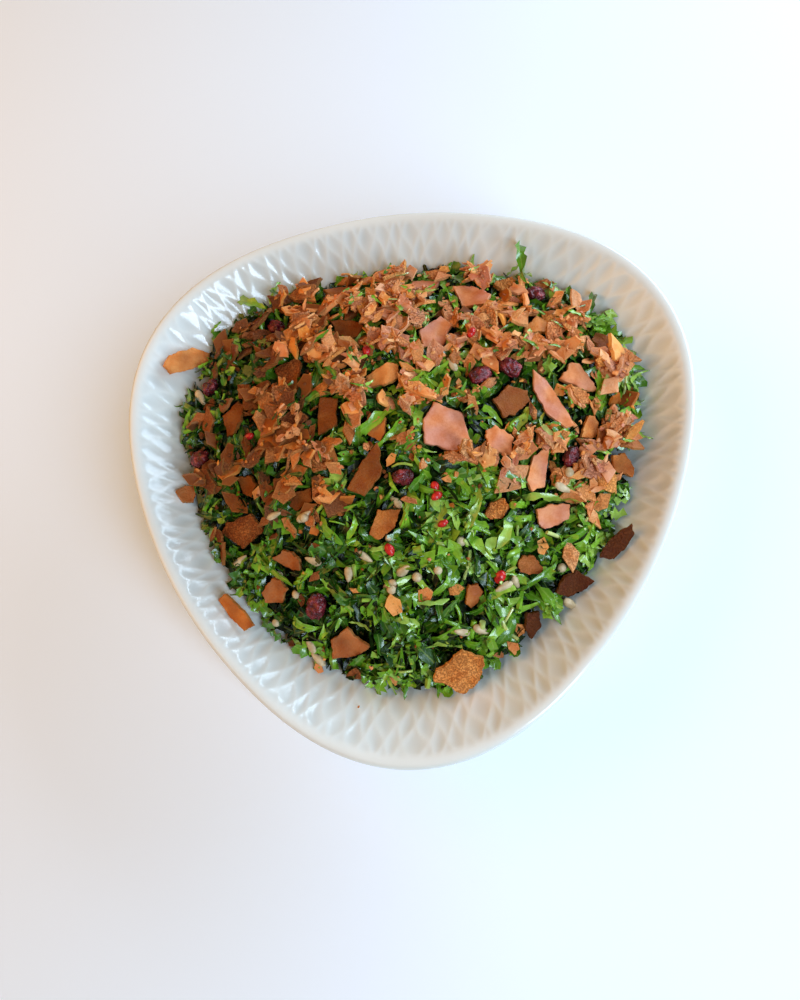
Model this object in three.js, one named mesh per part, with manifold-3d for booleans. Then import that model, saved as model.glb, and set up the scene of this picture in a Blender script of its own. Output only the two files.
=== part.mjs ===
// Dish of chopped herb salad: a rounded-triangular porcelain dish with a plain lip and a foot ring,
// heaped with shredded herbs, toasted flatbread chips, seeds and dried berries.
// Millimetres, +Z up. The origin is on the table under the dish's middle, and one corner points to -Y.
import * as THREE from "three";
import { mergeVertices } from "three/addons/utils/BufferGeometryUtils.js";
import Module from "manifold-3d";

const wasm = await Module();
wasm.setup();

// Dish
const RIM_RADIUS = 140; // mean plan radius of the rim
const CORNER_SWELL = 0.071; // share by which the three corners stand out
const SIDE_TRIM = 0.008; // share that keeps the sides between them from flattening
const DISH_HEIGHT = 62;
const LIP_WIDTH = 7;
const LIP_ROUND = 1.8;
const WALL = 5;
const WAIST_RADIUS = 92; // control point of the inner wall's curve
const WAIST_HEIGHT = 25;
const FLOOR_RADIUS = 50;
const FLOOR_HEIGHT = 9.5;
const FOOT_RADIUS = 61; // outside of the foot ring
const FOOT_WIDTH = 6;
const FOOT_ROUND = 0.8;
const FOOT_RECESS = 4; // height of the hollow inside the foot ring
const DISH_COLUMNS = 72;
const WALL_STEPS = 7;

// Heap
const HEAP_EDGE = 117; // plan radius where the salad meets the wall, at the rim's shape
const FRONT_DRAW = 8; // the edge draws in at the front corner
const FRONT_SPREAD = 0.7; // radians to each side
const BACK_DRAW = 4; // and at the middle of the back
const BACK_SPREAD = 0.6;
const HEAP_TOP = 85;
const HEAP_LUMP = 1.6; // height of its broad lumps
const CORE_INSET = 4; // the core lies this far under the heap's surface
const CORE_EDGE = 3; // thickness of the core at its rim
const CORE_COLUMNS = 48;
const GAP = 0.6; // between the salad and the dish
const SEAT_GAP = 0.5; // between a topping and what carries it
const KEEP_OUT = 0.6; // room left round each topping
const MERGE_DISTANCE = 1e-3; // corners closer than this are one corner

// Pieces
const CHIP_THICKNESS = 1.9;
const CHIP_SIDES = [6, 5, 7]; // taken in turn
const CHIP_CURL = [1, 3]; // rise of a chip's ends over its middle
const ARCHED_SHARE = 0.3; // share of the chips that lie the other way up
const CHIP_REACH = [0.66, 1.12]; // of a corner, as a share of an even outline's
const FLAKE_THICKNESS = 1.5;
const LEAF_THICKNESS = 0.8;
const FUSED_PIECES = 225;
const GOLDEN_ANGLE = Math.PI * (3 - Math.sqrt(5));
const RANDOM_SEED = 7;

const PORCELAIN = { color: 0xeceeee, roughness: 0.12, metalness: 0 };
const HERBS = { color: 0x3f7020, roughness: 0.55, metalness: 0 };
const TOASTED_BREAD = { color: 0xb26a3c, roughness: 0.75, metalness: 0 };
const DRIED_BERRY = { color: 0x5a1622, roughness: 0.45, metalness: 0 };

// The large chips that lie on the heap: place in plan, length, width, turn from +X and lean, in degrees.
const CHIPS = [
  { x: 23, y: 0, length: 27, width: 24, turn: 70, lean: 6 },
  { x: 47, y: -5, length: 17, width: 15, turn: -25, lean: 4 },
  { x: 54, y: 13, length: 20, width: 15, turn: 20, lean: 8 },
  { x: 12, y: 88, length: 21, width: 17, turn: -20, lean: 5 },
  { x: 38, y: 77, length: 19, width: 13, turn: -35, lean: 8 },
  { x: 73, y: 14, length: 30, width: 10, turn: -62, lean: 6 },
  { x: 88, y: 28, length: 20, width: 14, turn: -20, lean: 4 },
  { x: 63, y: -19, length: 22, width: 11, turn: 75, lean: 7 },
  { x: 69, y: -40, length: 20, width: 13, turn: 15, lean: 5 },
  { x: 22, y: -108, length: 29, width: 25, turn: 10, lean: 6 },
  { x: -30, y: -94, length: 18, width: 17, turn: 40, lean: 5 },
  { x: -55, y: -54, length: 14, width: 10, turn: -15, lean: 8 },
  { x: -64, y: -67, length: 16, width: 12, turn: 20, lean: 5 },
  { x: -83, y: -37, length: 22, width: 15, turn: 10, lean: 6 },
  { x: -114, y: 59, length: 26, width: 13, turn: 15, lean: 6 },
  { x: -84, y: -76, length: 25, width: 8, turn: -52, lean: 62 },
  { x: -8, y: -42, length: 18, width: 12, turn: 78, lean: 6 },
  { x: 98, y: -53, length: 24, width: 10, turn: 35, lean: 52 },
  { x: 77, y: -70, length: 18, width: 12, turn: -5, lean: 8 },
  { x: 58, y: -88, length: 15, width: 10, turn: 85, lean: 8 },
  { x: 31, y: -75, length: 17, width: 8, turn: 75, lean: 10 },
  { x: -15, y: -18, length: 24, width: 12, turn: 58, lean: 9 },
  { x: -29, y: 91, length: 20, width: 13, turn: -10, lean: 6 },
  { x: -54, y: 40, length: 17, width: 14, turn: 30, lean: 6 },
  { x: -4, y: 30, length: 17, width: 13, turn: 10, lean: 7 },
  { x: 106, y: -14, length: 15, width: 11, turn: -30, lean: 6 },
  { x: 57, y: -62, length: 13, width: 10, turn: -20, lean: 8 },
  { x: 43, y: -38, length: 15, width: 10, turn: 25, lean: 8 },
  { x: -48, y: -27, length: 16, width: 11, turn: 10, lean: 6 },
  { x: 102, y: 50, length: 14, width: 11, turn: -70, lean: 9 },
  { x: -113, y: -13, length: 11, width: 10, turn: 30, lean: 5 },
  { x: -76, y: -16, length: 14, width: 11, turn: -30, lean: 7 },
  { x: 56, y: 86, length: 14, width: 11, turn: 40, lean: 6 },
  { x: 70, y: 56, length: 16, width: 12, turn: 15, lean: 7 },
  { x: 20, y: 54, length: 19, width: 13, turn: 45, lean: 6 },
  { x: -24, y: 62, length: 18, width: 12, turn: -25, lean: 8 },
  { x: -84, y: 20, length: 17, width: 12, turn: 65, lean: 7 },
  { x: -34, y: 12, length: 18, width: 11, turn: 80, lean: 8 },
  { x: 92, y: 3, length: 14, width: 10, turn: 50, lean: 6 },
  { x: -10, y: 3, length: 15, width: 12, turn: -50, lean: 9 },
];

// The dried berries: place in plan, length and turn.
const BERRIES = [
  { x: 40, y: 27, length: 13, turn: 20 },
  { x: 54, y: 31, length: 14, turn: -30 },
  { x: -44, y: -76, length: 15, turn: 70 },
  { x: -105, y: 3, length: 14, turn: 10 },
  { x: -100, y: 42, length: 12, turn: 40 },
  { x: 71, y: 80, length: 12, turn: -20 },
  { x: 80, y: -12, length: 12, turn: 60 },
  { x: 2, y: -22, length: 12, turn: 0 },
  { x: -64, y: 71, length: 12, turn: -40 },
];

// A seeded random number from 0 to 1, the same on every run.
let randomState = RANDOM_SEED;
function random() {
  randomState = (randomState + 0x6d2b79f5) | 0;
  let t = Math.imul(randomState ^ (randomState >>> 15), 1 | randomState);
  t = (t + Math.imul(t ^ (t >>> 7), 61 | t)) ^ t;
  return ((t ^ (t >>> 14)) >>> 0) / 4294967296;
}

function between(low, high) {
  return low + (high - low) * random();
}

// Plan outline: the dish's radius in a direction as a share of its mean radius.
function outline(angle) {
  const fromFront = angle + Math.PI / 2;
  return 1 + CORNER_SWELL * Math.cos(3 * fromFront) + SIDE_TRIM * Math.cos(6 * fromFront);
}

// A point's distance from the middle, measured on the rim's shape shrunk to pass through it.
function planRadius(x, y) {
  return Math.hypot(x, y) / outline(Math.atan2(y, x));
}

// The inner wall, from under the lip down to the floor, as radius and height.
const innerWall = new THREE.QuadraticBezierCurve(
  new THREE.Vector2(RIM_RADIUS - LIP_WIDTH, DISH_HEIGHT - LIP_ROUND),
  new THREE.Vector2(WAIST_RADIUS, WAIST_HEIGHT),
  new THREE.Vector2(FLOOR_RADIUS, FLOOR_HEIGHT),
);

// Height of the inner wall or floor at a plan radius, from the curve's own quadratic.
function wallHeight(radius) {
  const { v0, v1, v2 } = innerWall;
  if (radius <= v2.x) return v2.y;
  const a = v0.x - 2 * v1.x + v2.x;
  const b = 2 * (v1.x - v0.x);
  const c = v0.x - Math.min(radius, v0.x);
  const t = (2 * c) / (-b + Math.sqrt(b * b - 4 * a * c));
  return innerWall.getPoint(t).y;
}

// Plan radius at which the heap, or its core one inset further in, meets the wall.
function heapEdge(angle, inset) {
  const fromFront = Math.atan2(-Math.cos(angle), -Math.sin(angle));
  const fromBack = Math.PI - Math.abs(fromFront);
  const front = FRONT_DRAW * Math.exp(-((fromFront / FRONT_SPREAD) ** 2));
  const back = BACK_DRAW * Math.exp(-((fromBack / BACK_SPREAD) ** 2));
  return HEAP_EDGE - inset - front - back;
}

// Broad lumps of the heap, from -1 to 1.
function lumps(x, y) {
  return 0.6 * Math.sin(x / 17 + 0.6) * Math.cos(y / 14) + 0.4 * Math.sin((x - y) / 9);
}

// Height of the heap's surface, or of its core one inset lower: a dome that meets the wall at its edge.
function heapHeight(x, y, inset) {
  const edge = heapEdge(Math.atan2(y, x), inset);
  const share = Math.min(1, planRadius(x, y) / edge);
  const foot = wallHeight(edge) + CORE_EDGE;
  const rise = HEAP_TOP - inset - foot;
  return foot + rise * (1 - share ** 2) + HEAP_LUMP * lumps(x, y) * (1 - share ** 4);
}

// What a topping can rest on: the core, or the bare wall outside it.
function support(x, y) {
  const radius = planRadius(x, y);
  const edge = heapEdge(Math.atan2(y, x), CORE_INSET);
  return radius < edge ? heapHeight(x, y, CORE_INSET) : wallHeight(radius);
}

// The way up from that support.
function supportNormal(x, y) {
  const step = 5;
  const slopeX = (support(x + step, y) - support(x - step, y)) / (2 * step);
  const slopeY = (support(x, y + step) - support(x, y - step)) / (2 * step);
  return new THREE.Vector3(-slopeX, -slopeY, 1).normalize();
}

// Geometry with only positions, shared corners merged and faces of no area dropped.
function tidy(geometry) {
  const bare = geometry.clone();
  for (const name of ["normal", "uv"]) bare.deleteAttribute(name);
  const merged = mergeVertices(bare, MERGE_DISTANCE);
  const kept = [];
  const index = merged.index.array;
  for (let i = 0; i < index.length; i += 3) {
    const [a, b, c] = [index[i], index[i + 1], index[i + 2]];
    if (a !== b && b !== c && c !== a) kept.push(a, b, c);
  }
  merged.setIndex(kept);
  return merged;
}

// Moves every vertex by a function of its place.
function reshape(geometry, move) {
  const position = geometry.getAttribute("position");
  const point = new THREE.Vector3();
  for (let i = 0; i < position.count; i += 1) {
    move(point.fromBufferAttribute(position, i));
    position.setXYZ(i, point.x, point.y, point.z);
  }
  return geometry;
}

// A ring profile turned about +Z, with each vertex then placed by its profile radius, direction and height.
function turned(profile, columns, place) {
  const lathe = new THREE.LatheGeometry(profile, columns).rotateX(Math.PI / 2);
  return tidy(
    reshape(lathe, (point) => {
      const angle = Math.atan2(point.y, point.x);
      const { radius, height } = place(Math.hypot(point.x, point.y), angle, point.z);
      point.set(radius * Math.cos(angle), radius * Math.sin(angle), height);
    }),
  );
}

// A thin sheet made solid: its faces, the same faces turned over one thickness below, and a wall round its edge.
function thicken(sheet, thickness) {
  const top = tidy(sheet);
  const place = top.getAttribute("position").array;
  const count = place.length / 3;
  const both = [...place, ...place.map((value, i) => (i % 3 === 2 ? value - thickness : value))];
  const index = Array.from(top.index.array);
  const faces = [...index];
  const edges = new Set();
  for (let i = 0; i < index.length; i += 3) {
    const [a, b, c] = [index[i], index[i + 1], index[i + 2]];
    faces.push(a + count, c + count, b + count);
    for (const [from, to] of [[a, b], [b, c], [c, a]]) edges.add(`${from},${to}`);
  }
  for (const edge of edges) {
    const [from, to] = edge.split(",").map(Number);
    if (edges.has(`${to},${from}`)) continue;
    faces.push(from, from + count, to, from + count, to + count, to);
  }
  const solid = new THREE.BufferGeometry();
  solid.setAttribute("position", new THREE.Float32BufferAttribute(both, 3));
  solid.setIndex(faces);
  return solid;
}

function solidOf(geometry) {
  const clean = tidy(geometry);
  const vertProperties = new Float32Array(clean.getAttribute("position").array);
  const triVerts = new Uint32Array(clean.index.array);
  return new wasm.Manifold(new wasm.Mesh({ numProp: 3, vertProperties, triVerts }));
}

function geometryOf(solid) {
  const { vertProperties, triVerts } = solid.getMesh();
  const geometry = new THREE.BufferGeometry();
  geometry.setAttribute("position", new THREE.BufferAttribute(vertProperties, 3));
  geometry.setIndex(new THREE.BufferAttribute(triVerts, 1));
  return geometry;
}

function meshOf(name, geometry, finish) {
  geometry.computeVertexNormals();
  const mesh = new THREE.Mesh(geometry, new THREE.MeshStandardMaterial(finish));
  mesh.name = name;
  return mesh;
}

// The dish: foot ring, outer wall one thickness outside the inner one, rounded lip, inner wall and floor.
function dish() {
  const at = (radius, height) => new THREE.Vector2(radius, height);
  const footInside = FOOT_RADIUS - FOOT_WIDTH;
  const profile = [
    at(0, FOOT_RECESS),
    at(footInside - FOOT_ROUND, FOOT_RECESS),
    at(footInside, FOOT_ROUND),
    at(footInside + FOOT_ROUND, 0),
    at(FOOT_RADIUS - FOOT_ROUND, 0),
    at(FOOT_RADIUS, FOOT_ROUND),
  ];
  const outside = [];
  const inside = [];
  for (let i = 0; i <= WALL_STEPS; i += 1) {
    const t = i / WALL_STEPS;
    const point = innerWall.getPoint(t);
    const along = innerWall.getTangent(t);
    const below = at(point.x - along.y * WALL, point.y + along.x * WALL);
    inside.push(point);
    if (below.x > FOOT_RADIUS + FOOT_ROUND && below.x < RIM_RADIUS - LIP_ROUND) outside.unshift(below);
  }
  profile.push(...outside);
  profile.push(
    at(RIM_RADIUS, DISH_HEIGHT - 2 * LIP_ROUND),
    at(RIM_RADIUS - LIP_ROUND / 3, DISH_HEIGHT - LIP_ROUND / 2),
    at(RIM_RADIUS - LIP_ROUND, DISH_HEIGHT),
    at(RIM_RADIUS - LIP_WIDTH + LIP_ROUND, DISH_HEIGHT - LIP_ROUND / 3),
    ...inside,
    at(0, FLOOR_HEIGHT),
  );
  return turned(profile, DISH_COLUMNS, (radius, angle, height) => ({ radius: radius * outline(angle), height }));
}

// The heap's core: a flat profile whose lower half lies along the dish and upper half is the dome.
function heapCore() {
  const lower = [0, 0.3, 0.55, 0.75, 0.9, 1];
  const upper = [1, 0.93, 0.8, 0.65, 0.45, 0.22, 0];
  const profile = [
    ...lower.map((share) => new THREE.Vector2(share, 0)),
    ...upper.map((share) => new THREE.Vector2(share, 1)),
  ];
  return turned(profile, CORE_COLUMNS, (share, angle, isTop) => {
    const planAt = share * heapEdge(angle, CORE_INSET);
    const radius = planAt * outline(angle);
    const dome = heapHeight(radius * Math.cos(angle), radius * Math.sin(angle), CORE_INSET);
    return { radius, height: isTop > 0.5 ? dome : wallHeight(planAt) + GAP };
  });
}

// A shred of leaf: a strip that tapers to both ends and waves along its length.
function shred(length, width) {
  const wave = between(0.5, 1.4);
  const phase = between(0, 2 * Math.PI);
  const twist = between(-0.5, 0.5);
  const strip = new THREE.PlaneGeometry(length, width, 4, 1);
  return thicken(
    reshape(strip, (point) => {
      const along = (2 * point.x) / length;
      point.y *= 1 - 0.65 * along ** 2;
      point.z = wave * Math.sin(2.4 * along + phase) + twist * along * point.y;
    }),
    LEAF_THICKNESS,
  );
}

// A piece of a toothed leaf: a fan with lobes, cupped along its middle.
function leaflet(size) {
  const cup = between(0.1, 0.3);
  const lobe = between(0.12, 0.28);
  const fan = tidy(new THREE.CircleGeometry(size / 2, 9));
  return thicken(
    reshape(fan, (point) => {
      const angle = Math.atan2(point.y, point.x);
      const reach = 1 + lobe * Math.cos(3 * angle) + between(-0.1, 0.1);
      point.set(point.x * reach, 0.8 * point.y * reach, cup * Math.abs(point.y) * 1.6);
    }),
    LEAF_THICKNESS,
  );
}

// A broken piece of toasted bread: an uneven angular plate that curls at its ends.
function brokenPlate(length, width, sides, curl, thickness) {
  const plate = tidy(new THREE.CircleGeometry(1, sides, Math.PI / sides));
  const cornerReach = 1 / Math.cos(Math.PI / sides);
  return thicken(
    reshape(plate, (point) => {
      const isCentre = Math.hypot(point.x, point.y) < 0.5;
      const angle = Math.atan2(point.y, point.x) + between(-0.3, 0.3);
      const reach = isCentre ? 0 : cornerReach * between(...CHIP_REACH);
      const x = reach * Math.cos(angle);
      point.set((x * length) / 2, (reach * Math.sin(angle) * width) / 2, curl * x * x);
    }),
    thickness,
  );
}

function seed(length) {
  return new THREE.SphereGeometry(0.5, 6, 4).scale(length, length * 0.5, length * 0.34);
}

function stalk(length, radius) {
  return new THREE.CylinderGeometry(radius, radius, length, 6).rotateZ(Math.PI / 2);
}

// A dried berry: a ball with a wrinkled skin.
function driedBerry(length) {
  const ball = tidy(new THREE.IcosahedronGeometry(0.5, 1));
  return reshape(ball, (point) => {
    point.multiplyScalar(between(0.84, 1.08));
    point.set(point.x * length, point.y * length * 0.72, point.z * length * 0.6);
  });
}

// The turn that lays local +Z along a normal, after a turn about it and a lean about the piece's length.
function lying(normal, turnDegrees, leanDegrees) {
  const up = new THREE.Vector3(0, 0, 1);
  const onto = new THREE.Quaternion().setFromUnitVectors(up, normal);
  const turn = new THREE.Quaternion().setFromAxisAngle(up, THREE.MathUtils.degToRad(turnDegrees));
  const side = new THREE.Vector3(1, 0, 0);
  const lean = new THREE.Quaternion().setFromAxisAngle(side, THREE.MathUtils.degToRad(leanDegrees));
  return onto.multiply(turn).multiply(lean);
}

// Lays a topping on what carries it and lifts it until its corners and its faces' middles are clear.
function seat(mesh, { x, y, turn, lean = 0 }) {
  mesh.quaternion.copy(lying(supportNormal(x, y), turn, lean));
  mesh.position.set(x, y, 0);
  mesh.updateMatrixWorld(true);
  const corners = mesh.geometry.toNonIndexed().applyMatrix4(mesh.matrixWorld).getAttribute("position");
  const face = [new THREE.Vector3(), new THREE.Vector3(), new THREE.Vector3()];
  let lift = -Infinity;
  for (let i = 0; i < corners.count; i += 3) {
    face.forEach((corner, j) => corner.fromBufferAttribute(corners, i + j));
    const middle = new THREE.Vector3().add(face[0]).add(face[1]).add(face[2]).divideScalar(3);
    for (const point of [...face, middle]) lift = Math.max(lift, support(point.x, point.y) - point.z);
  }
  mesh.position.z = lift + SEAT_GAP;
  mesh.updateMatrixWorld(true);
  return mesh;
}

function numbered(name, i) {
  return `${name}_${String(i + 1).padStart(2, "0")}`;
}

function pitaChip(chip, i) {
  const sides = CHIP_SIDES[i % CHIP_SIDES.length];
  const curl = between(...CHIP_CURL) * (random() < ARCHED_SHARE ? -1 : 1);
  const plate = brokenPlate(chip.length, chip.width, sides, curl, CHIP_THICKNESS);
  return seat(meshOf(numbered("pita_chip", i), plate, TOASTED_BREAD), chip);
}

function berry(place, i) {
  return seat(meshOf(numbered("dried_berry", i), driedBerry(place.length), DRIED_BERRY), place);
}

// The room that a topping needs: its own solid, grown about its middle.
function keepOut(mesh) {
  const grown = mesh.geometry.clone();
  grown.computeBoundingBox();
  const size = grown.boundingBox.getSize(new THREE.Vector3());
  const middle = grown.boundingBox.getCenter(new THREE.Vector3());
  const growth = size.clone().addScalar(2 * KEEP_OUT).divide(size);
  grown.translate(-middle.x, -middle.y, -middle.z);
  grown.scale(growth.x, growth.y, growth.z).translate(middle.x, middle.y, middle.z);
  return solidOf(grown.applyMatrix4(mesh.matrixWorld));
}

// One small piece of the salad. Bread flakes are thickest on the back half, as leaves are on the front.
function smallPiece(y) {
  const kind = random() + 0.16 * Math.tanh(y / 40);
  if (kind > 0.74) return brokenPlate(between(8, 14), between(5, 9), 5, between(0.2, 1), FLAKE_THICKNESS);
  if (kind > 0.66) return seed(between(8, 9.5));
  if (kind > 0.6) return stalk(between(10, 16), between(0.9, 1.3));
  if (kind > 0.3) return shred(between(13, 22), between(4, 7));
  return leaflet(between(10, 15));
}

// True where a placed piece would cross the dish's wall.
function crossesWall(geometry) {
  const position = geometry.getAttribute("position");
  for (let i = 0; i < position.count; i += 1) {
    const height = wallHeight(planRadius(position.getX(i), position.getY(i)));
    if (position.getZ(i) < height + GAP) return true;
  }
  return false;
}

// The outer surface of a joined solid, without loose scraps and with its sealed hollows filled.
function largestBody(solid) {
  return solid.decompose().reduce((largest, body) => (body.volume() > largest.volume() ? body : largest));
}

// The heap: its core with leaves, flakes, seeds and stalks fused on, spread by the golden angle.
// A piece that would cross the dish or a topping is left out, and so is a scrap that touches nothing.
function saladHeap(toppings) {
  const rooms = toppings.map(keepOut);
  const pieces = [solidOf(heapCore())];
  for (let i = 0; i < FUSED_PIECES; i += 1) {
    const angle = i * GOLDEN_ANGLE;
    const planAt = Math.sqrt((i + 0.5) / FUSED_PIECES) * heapEdge(angle, CORE_INSET);
    const x = planAt * outline(angle) * Math.cos(angle);
    const y = planAt * outline(angle) * Math.sin(angle);
    const shape = smallPiece(y);
    const turn = lying(supportNormal(x, y), between(0, 360), between(-25, 25));
    const tip = new THREE.Quaternion().setFromAxisAngle(new THREE.Vector3(0, 1, 0), between(0.1, 0.45));
    const place = new THREE.Vector3(x, y, support(x, y) + between(0.3, 1.2));
    shape.applyQuaternion(turn.multiply(tip)).translate(place.x, place.y, place.z);
    if (crossesWall(shape)) continue;
    const solid = solidOf(shape);
    if (rooms.some((room) => room.intersect(solid).volume() > 0)) continue;
    pieces.push(solid);
  }
  return largestBody(wasm.Manifold.union(pieces));
}

// The corner at the front reaches further than the side at the back, so all of it moves to centre the dish.
const porcelain = dish();
porcelain.computeBoundingBox();
const shiftY = -porcelain.boundingBox.getCenter(new THREE.Vector3()).y;
const toppings = [...CHIPS.map(pitaChip), ...BERRIES.map(berry)];
const heap = geometryOf(saladHeap(toppings)).translate(0, shiftY, 0);
for (const topping of toppings) topping.position.y += shiftY;

const dishOfSalad = new THREE.Group();
dishOfSalad.add(meshOf("dish", porcelain.translate(0, shiftY, 0), PORCELAIN));
dishOfSalad.add(meshOf("salad_heap", heap, HERBS), ...toppings);

export default dishOfSalad;
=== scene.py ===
# %% [markdown]
# # A dish of fattoush
# The real thing is a three-cornered porcelain dish, heaped with chopped parsley and strewn with broken
# toasted flatbread, sunflower kernels and dried berries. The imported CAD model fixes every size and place.
# This lesson puts the looks on it: the pressed wall of the dish, the herbs one by one, and the crumbs.

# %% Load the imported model
from collections import namedtuple

import bmesh
import bpy
import numpy as np
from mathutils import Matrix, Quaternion, Vector, noise
from mathutils.bvhtree import BVHTree


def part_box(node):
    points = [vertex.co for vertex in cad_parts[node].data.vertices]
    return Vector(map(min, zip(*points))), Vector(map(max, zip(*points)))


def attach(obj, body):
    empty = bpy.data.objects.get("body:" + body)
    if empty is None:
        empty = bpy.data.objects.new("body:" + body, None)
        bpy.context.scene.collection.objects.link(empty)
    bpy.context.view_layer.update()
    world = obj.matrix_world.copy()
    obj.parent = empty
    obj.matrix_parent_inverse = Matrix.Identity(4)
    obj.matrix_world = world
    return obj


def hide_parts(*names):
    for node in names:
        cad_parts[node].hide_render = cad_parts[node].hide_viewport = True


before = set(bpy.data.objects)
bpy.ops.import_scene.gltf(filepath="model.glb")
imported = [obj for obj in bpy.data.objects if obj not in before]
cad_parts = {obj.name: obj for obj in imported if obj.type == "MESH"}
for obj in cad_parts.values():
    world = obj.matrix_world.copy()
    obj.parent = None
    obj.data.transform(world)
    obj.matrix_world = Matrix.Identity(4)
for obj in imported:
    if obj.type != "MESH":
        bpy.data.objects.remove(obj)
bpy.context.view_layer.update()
MM = 0.001
print("CAD nodes:", len(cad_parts))

# %% [markdown]
# ## The dish in numbers
# Seen from above, the rim is a circle that swells at three corners, so one cosine of three times the angle
# draws it. The wall is one quadratic curve from the lip down to the floor. Both are kept as functions,
# because the heap and everything strewn on it also ask them where the porcelain is.

# %% Plan and wall of the dish
RIM_RADIUS = 140 * MM
CORNER_SWELL = 0.071
SIDE_TRIM = 0.008
LIP_WIDTH = 7 * MM
LIP_ROUND = 1.8 * MM
dish_low, dish_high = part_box("dish")
DISH_HEIGHT = dish_high.z
LIP_INSIDE = np.array([RIM_RADIUS - LIP_WIDTH, DISH_HEIGHT - LIP_ROUND])
WAIST = np.array([92, 25]) * MM
FLOOR = np.array([50, 9.5]) * MM


def outline(angle):
    """The rim's radius in a direction, as a share of its mean radius."""
    from_front = angle + np.pi / 2
    return 1 + CORNER_SWELL * np.cos(3 * from_front) + SIDE_TRIM * np.cos(6 * from_front)


CENTRE_Y = dish_low.y + RIM_RADIUS * outline(-np.pi / 2)


def plan_radius(x, y):
    """Distance from the middle, measured on the rim's shape shrunk to pass through the place."""
    return np.hypot(x, y - CENTRE_Y) / outline(np.arctan2(y - CENTRE_Y, x))


def wall_curve(t):
    """Radius and height of the inner wall, from the lip at t = 0 to the floor at t = 1."""
    t = np.asarray(t)[..., None]
    return (1 - t) ** 2 * LIP_INSIDE + 2 * t * (1 - t) * WAIST + t**2 * FLOOR


def wall_height(radius):
    """Height of the inner wall or floor at a plan radius."""
    a = LIP_INSIDE[0] - 2 * WAIST[0] + FLOOR[0]
    b = 2 * (WAIST[0] - LIP_INSIDE[0])
    c = LIP_INSIDE[0] - np.clip(radius, FLOOR[0], LIP_INSIDE[0])
    return wall_curve(2 * c / (-b + np.sqrt(b * b - 4 * a * c)))[..., 1]


print("middle of the rim at y =", round(CENTRE_Y / MM, 2), "mm")

# %% [markdown]
# ## The camera
# The photograph looks steeply down on the dish from the front and a little from the right. The camera is
# placed by an azimuth and an elevation about the middle of the rim, aimed, and then rolled, which keeps
# every number readable. The focal length in pixels becomes a lens once the long side of the image is known.

# %% Camera
PHOTO_SIZE = (800, 1000)
FOCAL_PIXELS = 838
VIEW_AZIMUTH = np.radians(16.8)
VIEW_ELEVATION = np.radians(70.2)
VIEW_ROLL = np.radians(-24.6)
VIEW_DISTANCE = 411.8 * MM
AIM_SHIFT = Vector((-2.3, -26.8, 0)) * MM
SENSOR_WIDTH = 36
rim_centre = Vector((0, CENTRE_Y, DISH_HEIGHT))
aim = rim_centre + AIM_SHIFT
away = Vector((np.sin(VIEW_AZIMUTH), -np.cos(VIEW_AZIMUTH), np.tan(VIEW_ELEVATION))).normalized()

camera_data = bpy.data.cameras.new("camera")
camera_data.sensor_width = SENSOR_WIDTH
camera_data.lens = FOCAL_PIXELS / max(PHOTO_SIZE) * SENSOR_WIDTH
camera_data.clip_start = 10 * MM
camera = bpy.data.objects.new("camera", camera_data)
camera.location = rim_centre + VIEW_DISTANCE * away
camera.rotation_mode = "QUATERNION"
towards_aim = (aim - camera.location).to_track_quat("-Z", "Y")
camera.rotation_quaternion = towards_aim @ Quaternion((0, 0, 1), VIEW_ROLL)
bpy.context.scene.collection.objects.link(camera)
bpy.context.scene.camera = camera
print("camera at", [round(c / MM) for c in camera.location], "mm, lens", round(camera_data.lens, 2), "mm")

# %% [markdown]
# ## Floor and light
# The photograph has cool daylight from the right and warm light from the room on the left: the left wall
# of the dish is bluish and streaked with reflections, and the right wall is beige. Three area lights do the
# same. A wide, low window stands at the back right, a tall, narrow one at the front right draws the streaks,
# and the room glows on the left. A dim, warm surround fills the shade. The floor is a plain pale sheet,
# slightly blue and slightly bright in itself, so that the warm light doesn't tint it.


# %% Colours
def srgb(red, green, blue):
    """A colour as a picture shows it, 0 to 255, in the linear values that shaders take."""
    shown = np.array([red, green, blue]) / 255
    linear = np.where(shown <= 0.04045, shown / 12.92, ((shown + 0.055) / 1.055) ** 2.4)
    return (*linear.tolist(), 1.0)


# %% Floor
FLOOR_SIZE = 4.0
FLOOR_COLOUR = srgb(228, 238, 250)
FLOOR_ROUGHNESS = 0.9
FLOOR_GLOW = 0.08
floor_bm = bmesh.new()
bmesh.ops.create_grid(floor_bm, x_segments=1, y_segments=1, size=FLOOR_SIZE / 2)
floor_mesh = bpy.data.meshes.new("floor")
floor_bm.to_mesh(floor_mesh)
floor_bm.free()
floor_finish = bpy.data.materials.new("floor")
floor_finish.use_nodes = True
floor_shader = floor_finish.node_tree.nodes["Principled BSDF"]
floor_shader.inputs["Base Color"].default_value = FLOOR_COLOUR
floor_shader.inputs["Roughness"].default_value = FLOOR_ROUGHNESS
floor_shader.inputs["Emission Color"].default_value = srgb(255, 255, 255)
floor_shader.inputs["Emission Strength"].default_value = FLOOR_GLOW
floor_mesh.materials.append(floor_finish)
floor = bpy.data.objects.new("floor", floor_mesh)
bpy.context.scene.collection.objects.link(floor)
print("floor:", FLOOR_SIZE, "m across")

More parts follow.
